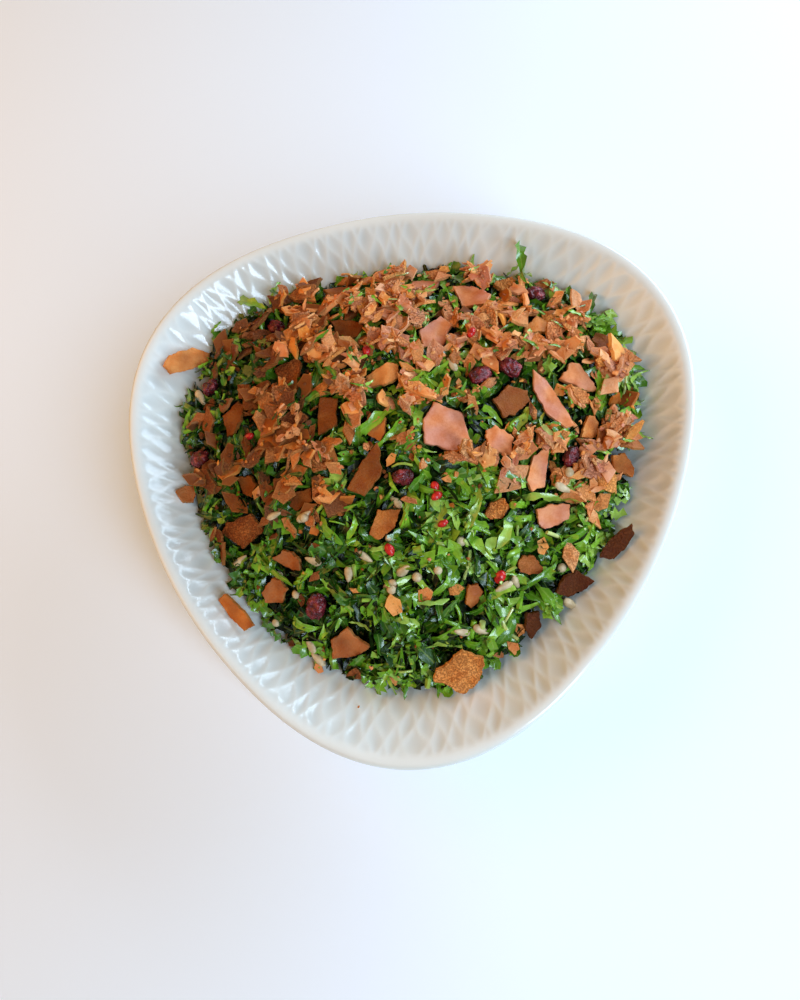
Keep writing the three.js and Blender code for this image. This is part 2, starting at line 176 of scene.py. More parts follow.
# %% Lights
SURROUND = 0.19
SURROUND_COLOUR = srgb(250, 240, 200)
DAYLIGHT = srgb(206, 231, 255)
ROOM_LIGHT = srgb(255, 180, 82)
LIGHTS = [
    ("window", Vector((0.76, 0.50, 0.34)), 1.0, 0.45, 11.0, DAYLIGHT),
    ("far_window", Vector((0.53, -0.56, 0.75)), 0.25, 0.9, 10.0, DAYLIGHT),
    ("room", Vector((-0.75, 0.15, 0.66)), 0.9, 0.9, 5.6, ROOM_LIGHT),
]
bpy.context.scene.view_settings.view_transform = "Standard"
world = bpy.data.worlds.new("surround")
world.use_nodes = True
world.node_tree.nodes["Background"].inputs["Color"].default_value = SURROUND_COLOUR
world.node_tree.nodes["Background"].inputs["Strength"].default_value = SURROUND
bpy.context.scene.world = world


def soft_light(name, place, wide, tall, watts, colour):
    """An area light that faces the dish, its sides in metres."""
    data = bpy.data.lights.new(name, "AREA")
    data.shape = "RECTANGLE"
    data.size = wide
    data.size_y = tall
    data.energy = watts
    data.color = colour[:3]
    light = bpy.data.objects.new(name, data)
    light.location = place
    light.rotation_mode = "QUATERNION"
    light.rotation_quaternion = (rim_centre - light.location).to_track_quat("-Z", "Y")
    bpy.context.scene.collection.objects.link(light)


for light_values in LIGHTS:
    soft_light(*light_values)
print("lights:", [name for name, *_ in LIGHTS])

# %% [markdown]
# ## Pieces and finishes
# Every piece is a mesh in the frame's own place that rides on the one body. A finish is a node tree round
# one Principled shader. A few short helpers keep the cells below about the food and not about bookkeeping.


# %% Helpers for pieces and finishes
def add_piece(name, mesh, finish, slot, *nodes):
    """Puts a mesh in the scene as a piece of the object, standing for the CAD nodes named."""
    piece = bpy.data.objects.new(name, mesh)
    bpy.context.scene.collection.objects.link(piece)
    mesh.materials.append(finish)
    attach(piece, "root")
    if nodes:
        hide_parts(*nodes)
    return piece


def smooth_mesh(bm, name):
    """A mesh with smooth shading from a bmesh, which is freed."""
    mesh = bpy.data.meshes.new(name)
    bm.to_mesh(mesh)
    bm.free()
    mesh.shade_smooth()
    return mesh


def triangles_of(mesh):
    """How many triangles a mesh has."""
    mesh.calc_loop_triangles()
    return len(mesh.loop_triangles)


def new_finish(name):
    """A material with its node tree and its shader."""
    finish = bpy.data.materials.new(name)
    finish.use_nodes = True
    return finish, finish.node_tree, finish.node_tree.nodes["Principled BSDF"]


def add_node(tree, kind, inputs=None, **settings):
    """A node of a kind with its settings, and inputs given as values or as sockets to link from."""
    node = tree.nodes.new(kind)
    for key, value in settings.items():
        setattr(node, key, value)
    for key, value in (inputs or {}).items():
        if isinstance(value, bpy.types.NodeSocket):
            tree.links.new(value, node.inputs[key])
        else:
            node.inputs[key].default_value = value
    return node


def ramp(tree, value, stops):
    """A colour ramp through (place, colour) stops."""
    node = add_node(tree, "ShaderNodeValToRGB", {"Fac": value})
    band = node.color_ramp.elements
    while len(band) < len(stops):
        band.new(0.5)
    for element, (place, colour) in zip(band, stops):
        element.position = place
        element.color = colour
    return node.outputs["Color"]


def mixed(tree, share, first, second, blend="MIX"):
    """A mix of two colours."""
    node = add_node(tree, "ShaderNodeMix", data_type="RGBA", blend_type=blend)
    for key, value in ((0, share), (6, first), (7, second)):
        if isinstance(value, bpy.types.NodeSocket):
            tree.links.new(value, node.inputs[key])
        else:
            node.inputs[key].default_value = value
    return node.outputs[2]


def stretched(tree, value, low, high, to_low, to_high):
    """A value moved from one range to another."""
    inputs = {"Value": value, "From Min": low, "From Max": high, "To Min": to_low, "To Max": to_high}
    return add_node(tree, "ShaderNodeMapRange", inputs).outputs["Result"]


# %% [markdown]
# ## Mottling
# Glaze, leaf, crust and berry skin are all uneven at two scales: broad patches and a fine grain. One node
# group makes both from noise on Object coordinates, and each finish places it with its own scales.

# %% The mottle group
mottle = bpy.data.node_groups.new("mottle", "ShaderNodeTree")
for socket in ("Patch scale", "Grain scale"):
    mottle.interface.new_socket(socket, in_out="INPUT", socket_type="NodeSocketFloat")
for socket in ("Patch", "Grain"):
    mottle.interface.new_socket(socket, in_out="OUTPUT", socket_type="NodeSocketFloat")
group_in = mottle.nodes.new("NodeGroupInput")
group_out = mottle.nodes.new("NodeGroupOutput")
where = add_node(mottle, "ShaderNodeTexCoord").outputs["Object"]
for scale, result, detail in (("Patch scale", "Patch", 2.0), ("Grain scale", "Grain", 4.0)):
    inputs = {"Vector": where, "Scale": group_in.outputs[scale], "Detail": detail}
    speckle = add_node(mottle, "ShaderNodeTexNoise", inputs)
    mottle.links.new(speckle.outputs["Fac"], group_out.inputs[result])


def add_mottle(tree, patch_size, grain_size):
    """The mottle group in a material, with its patches and grains of given sizes in metres."""
    node = add_node(tree, "ShaderNodeGroup", node_tree=mottle)
    node.inputs["Patch scale"].default_value = 1 / patch_size
    node.inputs["Grain scale"].default_value = 1 / grain_size
    return node.outputs["Patch"], node.outputs["Grain"]


def add_bump(tree, shader, height, strength, depth):
    """Low relief on a shader's normal."""
    node = add_node(tree, "ShaderNodeBump", {"Strength": strength, "Distance": depth, "Height": height})
    tree.links.new(node.outputs["Normal"], shader.inputs["Normal"])


print("mottle nodes:", len(mottle.nodes))

# %% [markdown]
# ## Porcelain
# The dish is white glazed porcelain. The ridges of the pressing are painted whitest and the scoops a little
# greyer, painted light and shade that sharpen the relief. The mesh carries how deep each spot is pressed, and
# the finish reads that. The narrow ring that the dish stands on is ground bare, so it is matt and creamier.

# %% Porcelain finish
BARE_BELOW = 0.5 * MM
LIT_RIDGE_GLAZE = srgb(229, 231, 227)
SHADED_SCOOP_GLAZE = srgb(209, 212, 209)
PATCH_GLAZE = srgb(220, 221, 215)
BARE_CLAY = srgb(222, 214, 198)
GLOSSIEST, DULLEST = 0.11, 0.17
porcelain, tree, shader = new_finish("porcelain")
patch, grain = add_mottle(tree, 30 * MM, 2.5 * MM)
pressed = add_node(tree, "ShaderNodeAttribute", attribute_name="pressed").outputs["Fac"]
# whiter ridges and greyer scoops: painted light and shade on the pressed relief
glaze = ramp(tree, pressed, [(0.0, LIT_RIDGE_GLAZE), (1.0, SHADED_SCOOP_GLAZE)])
glaze = mixed(tree, stretched(tree, patch, 0.35, 0.65, 0.0, 0.35), glaze, PATCH_GLAZE)
where = add_node(tree, "ShaderNodeTexCoord").outputs["Object"]
height = add_node(tree, "ShaderNodeSeparateXYZ", {"Vector": where}).outputs["Z"]
bare = add_node(tree, "ShaderNodeMath", {0: height, 1: BARE_BELOW}, operation="LESS_THAN").outputs[0]
tree.links.new(mixed(tree, bare, glaze, BARE_CLAY), shader.inputs["Base Color"])
gloss = stretched(tree, patch, 0.3, 0.7, GLOSSIEST, DULLEST)
rough = add_node(tree, "ShaderNodeMath", {0: gloss, 1: bare}, operation="MAXIMUM").outputs[0]
tree.links.new(rough, shader.inputs["Roughness"])
add_bump(tree, shader, grain, 0.05, 0.2 * MM)
print("porcelain nodes:", len(tree.nodes))

# %% [markdown]
# ## The dish
# The inside of the wall is pressed with staggered lozenges, long in the direction of the slope, like scoops
# with crisp ridges between them. A spin of a thousand steps is slow and the dish isn't round, so a flat
# grid is rolled up instead: one side of it runs round the rim and the other along the section. The product
# of two sines that cross at a slant is zero along the ridges and one in the middle of each scoop.


# %% A grid rolled into a ring
def rolled(columns, rows, place, carried=None):
    """A grid whose columns go round and whose rows go along a section, closed at its seam and poles."""
    bm = bmesh.new()
    bmesh.ops.create_grid(bm, x_segments=columns, y_segments=rows - 1, size=0.5)
    layer = bm.verts.layers.float.new(carried) if carried else None
    flat = np.array([vert.co for vert in bm.verts])
    turn = flat[:, 0] + 0.5
    row = np.rint((flat[:, 1] + 0.5) * (rows - 1)).astype(int)
    places, values = place(turn, row)
    for vert, spot, value in zip(bm.verts, places, values):
        vert.co = spot
        if layer:
            vert[layer] = value
    bmesh.ops.remove_doubles(bm, verts=bm.verts[:], dist=0.001 * MM)
    bmesh.ops.recalc_face_normals(bm, faces=bm.faces[:])
    return bm


# %% The dish's section
WALL = 5 * MM
FOOT_RADIUS = 61 * MM
FOOT_WIDTH = 6 * MM
FOOT_ROUND = 0.8 * MM
FOOT_RECESS = 4 * MM
OUTSIDE_ROWS = 14
LIP_ROWS = 6
ROW_STEP = 1.5 * MM
RELIEF_REACH = 52 * MM
DEEP_ROWS = 6

t_fine = np.linspace(0, 1, 2000)
curve = wall_curve(t_fine)
run = np.concatenate([[0], np.cumsum(np.linalg.norm(np.diff(curve, axis=0), axis=1))])
slope = np.gradient(curve, axis=0)
slope /= np.linalg.norm(slope, axis=1, keepdims=True)
facing = np.stack([slope[:, 1], -slope[:, 0]], axis=1)

foot_inside = FOOT_RADIUS - FOOT_WIDTH
foot = np.array([
    (0, FOOT_RECESS),
    (foot_inside - FOOT_ROUND, FOOT_RECESS),
    (foot_inside, FOOT_ROUND),
    (foot_inside + FOOT_ROUND, 0),
    (FOOT_RADIUS - FOOT_ROUND, 0),
    (FOOT_RADIUS, FOOT_ROUND),
])
outside = (curve - WALL * facing)[:: -(len(t_fine) // OUTSIDE_ROWS)]
outside = outside[(outside[:, 0] > FOOT_RADIUS + FOOT_ROUND) & (outside[:, 0] < RIM_RADIUS - LIP_ROUND)]
bend = np.linspace(0, np.pi / 2, LIP_ROWS)
lip_edge = LIP_ROUND * (np.stack([np.cos(bend), np.sin(bend)], axis=1) - 1) + [RIM_RADIUS, DISH_HEIGHT]
fall = np.linspace(0, 1, LIP_ROWS)[1:-1, None]
lip_top = lip_edge[-1] + fall * [LIP_INSIDE[0] - lip_edge[-1, 0], 0] - fall**2 * [0, LIP_ROUND]
runs = np.concatenate([np.arange(0, RELIEF_REACH, ROW_STEP), np.linspace(RELIEF_REACH, run[-1], DEEP_ROWS)])
inside = np.stack([np.interp(runs, run, curve[:, i]) for i in range(2)], axis=1)
section = np.concatenate([foot, outside, lip_edge, lip_top, inside, [(0, FLOOR[1])]])
print("section points:", len(section), "wall length:", round(run[-1] / MM, 1), "mm")

# %% The pressed lattice
LOZENGES = 92
LOZENGE_LENGTH = 20 * MM
PRESS_DEPTH = 0.5 * MM
PRESS_POWER = 0.7
PRESS_FROM = 2.5 * MM
PRESS_FADE = 3 * MM
WOBBLE = 0.1
WOBBLE_WAVES = ((23, 2.6), (37, -4.1))
DEPTH_VARIES = 0.15
DEPTH_WAVE = (29, 3.7)
COLUMNS_PER_LOZENGE = 12
crest = len(foot) + len(outside) + len(lip_edge) - 1
steps = np.linalg.norm(np.diff(section[crest:-1], axis=0), axis=1)
row_run = np.full(len(section), -1.0)
row_run[crest:-1] = np.concatenate([[0], np.cumsum(steps)])
row_slope = np.gradient(section, axis=0)
row_slope /= np.linalg.norm(row_slope, axis=1, keepdims=True)
row_facing = np.stack([row_slope[:, 1], -row_slope[:, 0]], axis=1)


def slanted_wave(turn, down, times, slant):
    """A wave that goes a number of times round the dish and slants on its way down the wall."""
    return np.sin(2 * np.pi * times * turn + slant * down)


def pressed_dish(turn, row):
    """Places of the dish's vertices, and how far each is pressed in."""
    down = row_run[row] / LOZENGE_LENGTH
    around = LOZENGES * turn + WOBBLE * sum(slanted_wave(turn, down, *wave) for wave in WOBBLE_WAVES)
    scoop = np.abs(np.sin(np.pi * (around + down)) * np.sin(np.pi * (around - down))) ** PRESS_POWER
    scoop *= 1 - DEPTH_VARIES + DEPTH_VARIES * slanted_wave(turn, down, *DEPTH_WAVE)
    scoop *= np.clip((row_run[row] - PRESS_FROM) / PRESS_FADE, 0, 1) * (row_run[row] <= RELIEF_REACH)
    point = section[row] - PRESS_DEPTH * scoop[:, None] * row_facing[row]
    angle = 2 * np.pi * turn
    radius = point[:, 0] * outline(angle)
    return np.stack([radius * np.cos(angle), radius * np.sin(angle) + CENTRE_Y, point[:, 1]], axis=1), scoop


# %% Dish piece
dish_bm = rolled(LOZENGES * COLUMNS_PER_LOZENGE, len(section), pressed_dish, "pressed")
dish_mesh = smooth_mesh(dish_bm, "dish_pressed")
add_piece("dish_pressed", dish_mesh, porcelain, "porcelain", "dish")
print("dish triangles:", triangles_of(dish_mesh))

# %% [markdown]
# ## The heap in numbers
# The salad is a low dome that meets the wall along an uneven edge, drawn in at the front and the back. The
# same function as in the CAD model gives its height anywhere, at the surface or an inset below it.

# %% Form of the heap
HEAP_EDGE = 117 * MM
FRONT_DRAW = 8 * MM
FRONT_SPREAD = 0.7
BACK_DRAW = 4 * MM
BACK_SPREAD = 0.6
HEAP_TOP = 85 * MM
HEAP_LUMP = 1.6 * MM
EDGE_HEIGHT = 3 * MM
WAVE_EAST, WAVE_NORTH, WAVE_SLANT = 17, 14, 9
WAVE_PHASE = 0.6
BROAD_SHARE, SLANT_SHARE = 0.6, 0.4


def heap_edge(angle, inset):
    """Plan radius at which the heap, or a surface one inset below it, meets the wall."""
    from_front = np.arctan2(-np.cos(angle), -np.sin(angle))
    from_back = np.pi - np.abs(from_front)
    front = FRONT_DRAW * np.exp(-((from_front / FRONT_SPREAD) ** 2))
    back = BACK_DRAW * np.exp(-((from_back / BACK_SPREAD) ** 2))
    return HEAP_EDGE - inset - front - back


def heap_height(x, y, inset):
    """Height of the heap's dome, or of a surface one inset below it."""
    north = y - CENTRE_Y
    edge = heap_edge(np.arctan2(north, x), inset)
    share = np.minimum(1, plan_radius(x, y) / edge)
    base = wall_height(edge) + EDGE_HEIGHT
    wave = BROAD_SHARE * np.sin(x / MM / WAVE_EAST + WAVE_PHASE) * np.cos(north / MM / WAVE_NORTH)
    wave += SLANT_SHARE * np.sin((x - north) / MM / WAVE_SLANT)
    return base + (HEAP_TOP - inset - base) * (1 - share**2) + HEAP_LUMP * wave * (1 - share**4)


print("heap top:", round(float(heap_height(np.array(0.0), np.array(CENTRE_Y), 0)) / MM, 1), "mm")

# %% [markdown]
# ## The core of the heap
# Under the loose leaves the salad is packed, and little light gets in. The core is that imported part: a dome
# a little below the surface, closed underneath along the wall. It shows only as dark green in the gaps, so it
# is roughly lumpy and finished in the near-black colours of shaded herbs, which are painted shade.

# %% Core finish
shaded_herbs, tree, shader = new_finish("shaded_herbs")
patch, grain = add_mottle(tree, 6 * MM, 1.2 * MM)
# near-black colours: painted shade of the gaps between the leaves
greens = [(0.3, srgb(4, 8, 2)), (0.55, srgb(8, 16, 4)), (0.75, srgb(16, 30, 8))]
tree.links.new(ramp(tree, patch, greens), shader.inputs["Base Color"])
shader.inputs["Roughness"].default_value = 0.6
add_bump(tree, shader, grain, 0.6, 1 * MM)
print("core nodes:", len(tree.nodes))

# %% Core piece
CORE_INSET = 14 * MM
CORE_GAP = 0.6 * MM
CORE_COLUMNS = 150
UNDER_ROWS = 10
DOME_ROWS = 50
CORE_LUMP = 1.2 * MM
CORE_WAVE_X, CORE_WAVE_Y = 2.9, 2.3
LUMPS_WITHIN = 0.99
shares = np.concatenate([np.linspace(0, 1, UNDER_ROWS), np.linspace(1, 0, DOME_ROWS)])


def core_dome(turn, row):
    """Places on the core: its underside along the wall, then its dome."""
    angle = 2 * np.pi * turn
    planned = shares[row] * heap_edge(angle, CORE_INSET)
    x = planned * outline(angle) * np.cos(angle)
    y = planned * outline(angle) * np.sin(angle) + CENTRE_Y
    lump = CORE_LUMP * np.sin(x / MM / CORE_WAVE_X) * np.sin(y / MM / CORE_WAVE_Y)
    dome = heap_height(x, y, CORE_INSET) + lump * (shares[row] < LUMPS_WITHIN)
    under = wall_height(planned) + CORE_GAP
    return np.stack([x, y, np.where(row < UNDER_ROWS, under, dome)], axis=1), shares[row]


core_bm = rolled(CORE_COLUMNS, len(shares), core_dome)
core_mesh = smooth_mesh(core_bm, "packed_herbs")
add_piece("packed_herbs", core_mesh, shaded_herbs, "herbs", "salad_heap")
print("core triangles:", triangles_of(core_mesh))

# %% [markdown]
# ## Room for the toppings
# The large chips of flatbread and the dried berries are CAD nodes with places of their own. No leaf may
# cover or cross them. Rays cast up from below give the height of their undersides over a millimetre grid,
# and a leaf whose points are all lower than that passes under them.

# %% A map of the toppings' undersides
CELL = 1 * MM
MAP_CELLS = 300
MAP_HALF = MAP_CELLS * CELL / 2


def cell_of(x, y):
    """Row and column of the map under each place."""
    column = np.clip(((x + MAP_HALF) / CELL).astype(int), 0, MAP_CELLS - 1)
    line = np.clip(((y + MAP_HALF) / CELL).astype(int), 0, MAP_CELLS - 1)
    return line, column


def ray_map(tree, start, way, empty):
    """Heights at which upright rays over the map's cells first meet a mesh."""
    heights = np.full((MAP_CELLS, MAP_CELLS), empty)
    for line in range(MAP_CELLS):
        for column in range(MAP_CELLS):
            middle = ((column + 0.5) * CELL - MAP_HALF, (line + 0.5) * CELL - MAP_HALF, start)
            hit = tree.ray_cast(middle, (0, 0, way))[0]
            if hit:
                heights[line, column] = hit.z
    return heights


def tree_of(meshes):
    """A ray tree over several meshes of triangles."""
    places, faces = [], []
    for mesh in meshes:
        start = len(places)
        places.extend(vert.co for vert in mesh.vertices)
        faces.extend([start + i for i in face.vertices] for face in mesh.polygons)
    return BVHTree.FromPolygons(places, faces)


chip_names = sorted(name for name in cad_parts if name.startswith("pita_chip"))
berry_names = sorted(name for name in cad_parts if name.startswith("dried_berry"))
topping_tree = tree_of([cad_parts[name].data for name in chip_names + berry_names])
topping_floor = ray_map(topping_tree, start=0.0, way=1.0, empty=np.inf)
print("cells under toppings:", int(np.isfinite(topping_floor).sum()))

# %% [markdown]
# ## Small shapes
# Each kind of small thing is modelled a few times, each time a little differently, one unit long and with
# few faces. Thousands of copies are then sized, bent, twisted and laid with arrays and joined to one mesh,
# which is much quicker than thousands of objects. Each copy carries a look of its own, and each vertex a spot
# on its shape, so that one finish can vary from leaf to leaf and from midrib to edge.

# %% Helpers for shapes
Shape = namedtuple("Shape", "places triangles spots")


def as_shape(bm):
    """Arrays of a small mesh: its places, its triangles and the spots that its vertices carry."""
    bmesh.ops.triangulate(bm, faces=bm.faces[:])
    layer = bm.verts.layers.float_vector["spot"]
    bm.verts.index_update()
    places = np.array([vert.co for vert in bm.verts])
    triangles = np.array([[vert.index for vert in face.verts] for face in bm.faces])
    spots = np.array([vert[layer] for vert in bm.verts])
    bm.free()
    return Shape(places, triangles, spots)


def close_thin(bm, thickness):
    """Closes a sheet to a thin solid with a sharp edge: a copy turned over, sunk and merged at the rim."""
    layer = bm.verts.layers.float_vector["spot"]
    copied = bmesh.ops.duplicate(bm, geom=bm.verts[:] + bm.edges[:] + bm.faces[:])["geom"]
    faces = [item for item in copied if isinstance(item, bmesh.types.BMFace)]
    inner = [item for item in copied if isinstance(item, bmesh.types.BMVert) and not item.is_boundary]
    bmesh.ops.reverse_faces(bm, faces=faces)
    bmesh.ops.translate(bm, verts=inner, vec=(0, 0, -thickness))
    for vert in inner:
        vert[layer].z = 0
    bmesh.ops.remove_doubles(bm, verts=bm.verts[:], dist=0.0001)


# %% Shapes of leaf
LEAF_STEPS = 6
LEAF_THICKNESS = 0.03
LEAF_TIP = 0.97
NARROWEST = 0.12
POINT_LEAN = 0.07
FOLDS = (0.1, 0.5)
BOWS = (-0.08, 0.08)
UNEVEN = (0.8, 1.2)
RUFFLES = (0.4, 1.6)
STRAY_ALONG = (-0.02, 0.02)
STRAY_UP = (-0.015, 0.015)
shape_chance = np.random.default_rng(3)


def leaf_shape(half_width, tooth, ruffle, blunt):
    """A piece of leaf: a folded strip with toothed, ruffled edges, cut more or less blunt at one end."""
    bm = bmesh.new()
    bmesh.ops.create_grid(bm, x_segments=LEAF_STEPS, y_segments=2, size=0.5)
    layer = bm.verts.layers.float_vector.new("spot")
    fold = shape_chance.uniform(*FOLDS)
    bow = shape_chance.uniform(*BOWS)
    for vert in bm.verts:
        along = vert.co.x + 0.5
        side = round(2 * vert.co.y)
        is_point = round(along * LEAF_STEPS) % 2
        out = 1 if is_point else -1
        taper = max(np.sin(np.pi * (blunt + (LEAF_TIP - blunt) * along)), NARROWEST)
        reach = half_width * taper * (1 + tooth * out) * shape_chance.uniform(*UNEVEN)
        vert[layer] = (vert.co.x, side, 1 if side == 0 else 0.5)
        vert.co.x += (POINT_LEAN * tooth if is_point else 0) * abs(side) + shape_chance.uniform(*STRAY_ALONG)
        vert.co.y = side * reach + bow * np.sin(np.pi * along)
        wave = ruffle * out * side * shape_chance.uniform(*RUFFLES)
        vert.co.z = fold * reach * abs(side) + wave + shape_chance.uniform(*STRAY_UP)
    close_thin(bm, LEAF_THICKNESS)
    return as_shape(bm)


LEAFLET = {"half_width": 0.25, "tooth": 0.42, "ruffle": 0.06}
SHRED = {"half_width": 0.13, "tooth": 0.2, "ruffle": 0.03}
RIBBON = {"half_width": 0.1, "tooth": 0.12, "ruffle": 0.02}
leaflet_shapes = [leaf_shape(blunt=blunt, **LEAFLET) for blunt in (0.1, 0.2, 0.3, 0.42, 0.15, 0.35)]
shred_shapes = [leaf_shape(blunt=blunt, **SHRED) for blunt in (0.15, 0.25, 0.4, 0.48, 0.3)]
ribbon_shapes = [leaf_shape(blunt=blunt, **RIBBON) for blunt in (0.3, 0.42, 0.48, 0.45)]
print("leaf faces:", [len(shape.triangles) for shape in leaflet_shapes + shred_shapes + ribbon_shapes])


# %% Copies of a shape, bent and laid on the heap
SLOPE_STEP = 4 * MM


def ways_up(x, y):
    """Unit normals of the heap under each place."""
    slope_x = (heap_height(x + SLOPE_STEP, y, 0) - heap_height(x - SLOPE_STEP, y, 0)) / (2 * SLOPE_STEP)
    slope_y = (heap_height(x, y + SLOPE_STEP, 0) - heap_height(x, y - SLOPE_STEP, 0)) / (2 * SLOPE_STEP)
    normal = np.stack([-slope_x, -slope_y, np.ones_like(x)], axis=1)
    return normal / np.linalg.norm(normal, axis=1, keepdims=True)


def laid_axes(normal, turn, pitch, roll):
    """Length, width and up directions of pieces that lie on a normal, turned, then pitched and rolled."""
    east = np.array([1.0, 0, 0]) - normal * normal[:, :1]
    east /= np.linalg.norm(east, axis=1, keepdims=True)
    turn, pitch, roll = turn[:, None], pitch[:, None], roll[:, None]
    along = np.cos(turn) * east + np.sin(turn) * np.cross(normal, east)
    across = np.cross(normal, along)
    pitched = np.cos(pitch) * normal - np.sin(pitch) * along
    along = np.cos(pitch) * along + np.sin(pitch) * normal
    up = np.cos(roll) * pitched - np.sin(roll) * across
    across = np.cos(roll) * across + np.sin(roll) * pitched
    return along, across, up


def laid(shape, at, axes, length, stretch, curl, twist):
    """Copies of a unit shape at given places: sized, curled along their length and twisted."""
    x, y, z = (shape.places[None, :, i] for i in range(3))
    length, stretch, curl, twist = (value[:, None] for value in (length, stretch, curl, twist))
    turn = twist * x
    wide = stretch * y * np.cos(turn) - z * np.sin(turn)
    high = stretch * y * np.sin(turn) + z * np.cos(turn) + curl * (x**2 - 1 / 12)
    along, across, up = (axis[:, None] for axis in axes)
    moved = x[..., None] * along + wide[..., None] * across + high[..., None] * up
    return at[:, None] + length[..., None] * moved


# %% Keeping copies in the dish and off the toppings
SKIN = 0.4 * MM
CLEARANCE = 0.2 * MM


def lifted_off_wall(copies):
    """Copies raised until none of their points is in the wall."""
    wall = wall_height(plan_radius(copies[..., 0], copies[..., 1])) + SKIN
    lift = np.maximum(0, (wall - copies[..., 2]).max(axis=1))
    return copies + lift[:, None, None] * np.array([0, 0, 1.0])


def clear_of_toppings(copies):
    """True for each copy that neither crosses nor covers a chip or a berry."""
    lowest = topping_floor[cell_of(copies[..., 0], copies[..., 1])]
    return (copies[..., 2] < lowest - CLEARANCE).all(axis=1)


def heap_places(chance, count, reach):
    """Places spread evenly over the heap's plan between two shares of its reach, and their directions."""
    angle = chance.uniform(0, 2 * np.pi, count)
    share = np.sqrt(chance.uniform(reach[0] ** 2, reach[1] ** 2, count))
    radius = share * heap_edge(angle, 0) * outline(angle)
    return radius * np.cos(angle), radius * np.sin(angle) + CENTRE_Y, angle


# %% Joining copies to one mesh
def carry(mesh, name, values):
    """Three numbers on each vertex of a mesh, for its finish to read."""
    mesh.attributes.new(name, "FLOAT_VECTOR", "POINT").data.foreach_set("vector", np.ravel(values))


def looks_of(chance, count, tint, second):
    """A look for each copy: a tint and a second number, each a mean and a spread, and a third at random."""
    numbers = [chance.normal(*tint, count), chance.normal(*second, count), chance.uniform(0, 1, count)]
    return np.clip(np.stack(numbers, axis=1), 0, 1)


def join_copies(name, batches, finish, slot, sharp_degrees=60):
    """One piece from batches of copies, each batch a shape, its copies and their looks."""
    places, triangles, spots, looks = [], [], [], []
    start = 0
    for shape, copies, look in batches:
        count, size = copies.shape[:2]
        places.append(copies.reshape(-1, 3))
        offsets = start + size * np.arange(count)
        triangles.append((shape.triangles[None] + offsets[:, None, None]).reshape(-1, 3))
        spots.append(np.tile(shape.spots, (count, 1)))
        looks.append(np.repeat(look, size, axis=0))
        start += count * size
    places, triangles = np.concatenate(places), np.concatenate(triangles)
    mesh = bpy.data.meshes.new(name)
    mesh.vertices.add(len(places))
    mesh.vertices.foreach_set("co", places.ravel())
    mesh.loops.add(triangles.size)
    mesh.loops.foreach_set("vertex_index", triangles.ravel())
    mesh.polygons.add(len(triangles))
    mesh.polygons.foreach_set("loop_start", np.arange(0, triangles.size, 3))
    mesh.update(calc_edges=True)
    carry(mesh, "spot", np.concatenate(spots))
    carry(mesh, "look", np.concatenate(looks))
    mesh.shade_smooth()
    mesh.set_sharp_from_angle(angle=np.radians(sharp_degrees))
    print(name, "triangles:", len(triangles))
    return add_piece(name, mesh, finish, slot)


# %% [markdown]
# ## Herbs
# Fresh parsley is glossy and unevenly green: tender pieces are yellowish, old ones dark, and the undersides
# are paler. The look's first number picks the green and its second the gloss. The spot draws a pale midrib
# and tells the underside. A clear coat does for the dressing of oil, on all but the darkest pieces, which lie
# deep in the shade.

# %% Herb finish
def look_and_spot(tree):
    """What the copies and their vertices carry, as separate numbers."""
    found = []
    for name in ("look", "spot"):
        vector = add_node(tree, "ShaderNodeAttribute", attribute_name=name).outputs["Vector"]
        found.append(add_node(tree, "ShaderNodeSeparateXYZ", {"Vector": vector}).outputs)
    return found


GREENS = [
    (0.0, srgb(5, 13, 3)),
    (0.25, srgb(36, 80, 14)),
    (0.5, srgb(88, 140, 18)),
    (0.75, srgb(140, 190, 44)),
    (1.0, srgb(206, 214, 128)),
]
PATCH_GREEN = srgb(36, 78, 16)
RIB_GREEN = srgb(184, 202, 104)
UNDER_GREEN = srgb(134, 160, 66)
herbs, tree, shader = new_finish("herbs")
patch, grain = add_mottle(tree, 5 * MM, 1.6 * MM)
look, spot = look_and_spot(tree)
green = ramp(tree, look["X"], GREENS)
shade = stretched(tree, patch, 0.4, 0.7, 0.0, 0.4)
green = mixed(tree, shade, green, PATCH_GREEN)
off_rib = add_node(tree, "ShaderNodeMath", {0: spot["Y"]}, operation="ABSOLUTE").outputs[0]
rib = stretched(tree, off_rib, 0.0, 0.2, 0.3, 0.0)
green = mixed(tree, rib, green, RIB_GREEN)
under = stretched(tree, spot["Z"], 0.0, 0.5, 0.3, 0.0)
green = mixed(tree, under, green, UNDER_GREEN)
tree.links.new(green, shader.inputs["Base Color"])
tree.links.new(stretched(tree, look["Y"], 0.0, 1.0, 0.42, 0.2), shader.inputs["Roughness"])
tree.links.new(stretched(tree, look["X"], 0.05, 0.4, 0.0, 0.8), shader.inputs["Coat Weight"])
shader.inputs["Coat Roughness"].default_value = 0.15
shader.inputs["Specular IOR Level"].default_value = 0.35
add_bump(tree, shader, grain, 0.5, 0.8 * MM)
print("herb nodes:", len(tree.nodes))

# %% [markdown]
# ## Leaves and shreds
# The heap's skin is several leaves deep. Pieces are laid at random depths below the surface, turned any way
# and tilted out of it, so that some stand up and catch the light. Little light comes down between leaves,
# and the left is in shade, so the tint is darker with depth and towards the left. Leaves that would hide a
# chip or stand up too high are left out, and those at the edge are lifted onto the wall.

# %% Laying herbs
SHADE_WITH_DEPTH = 0.12 / MM
SHADE_TO_LEFT = 0.2
SIDE_REACH = 80 * MM
HIGHEST = 4 * MM
TILT = np.radians(28)
STEEPEST = np.radians(45)
STRAY_FROM_OUTWARD = 0.2
HERB_WIDTHS = (0.75, 1.3)
CURL = 0.9
TWIST = 1.4
HERB_GLOSS = (0.55, 0.25)


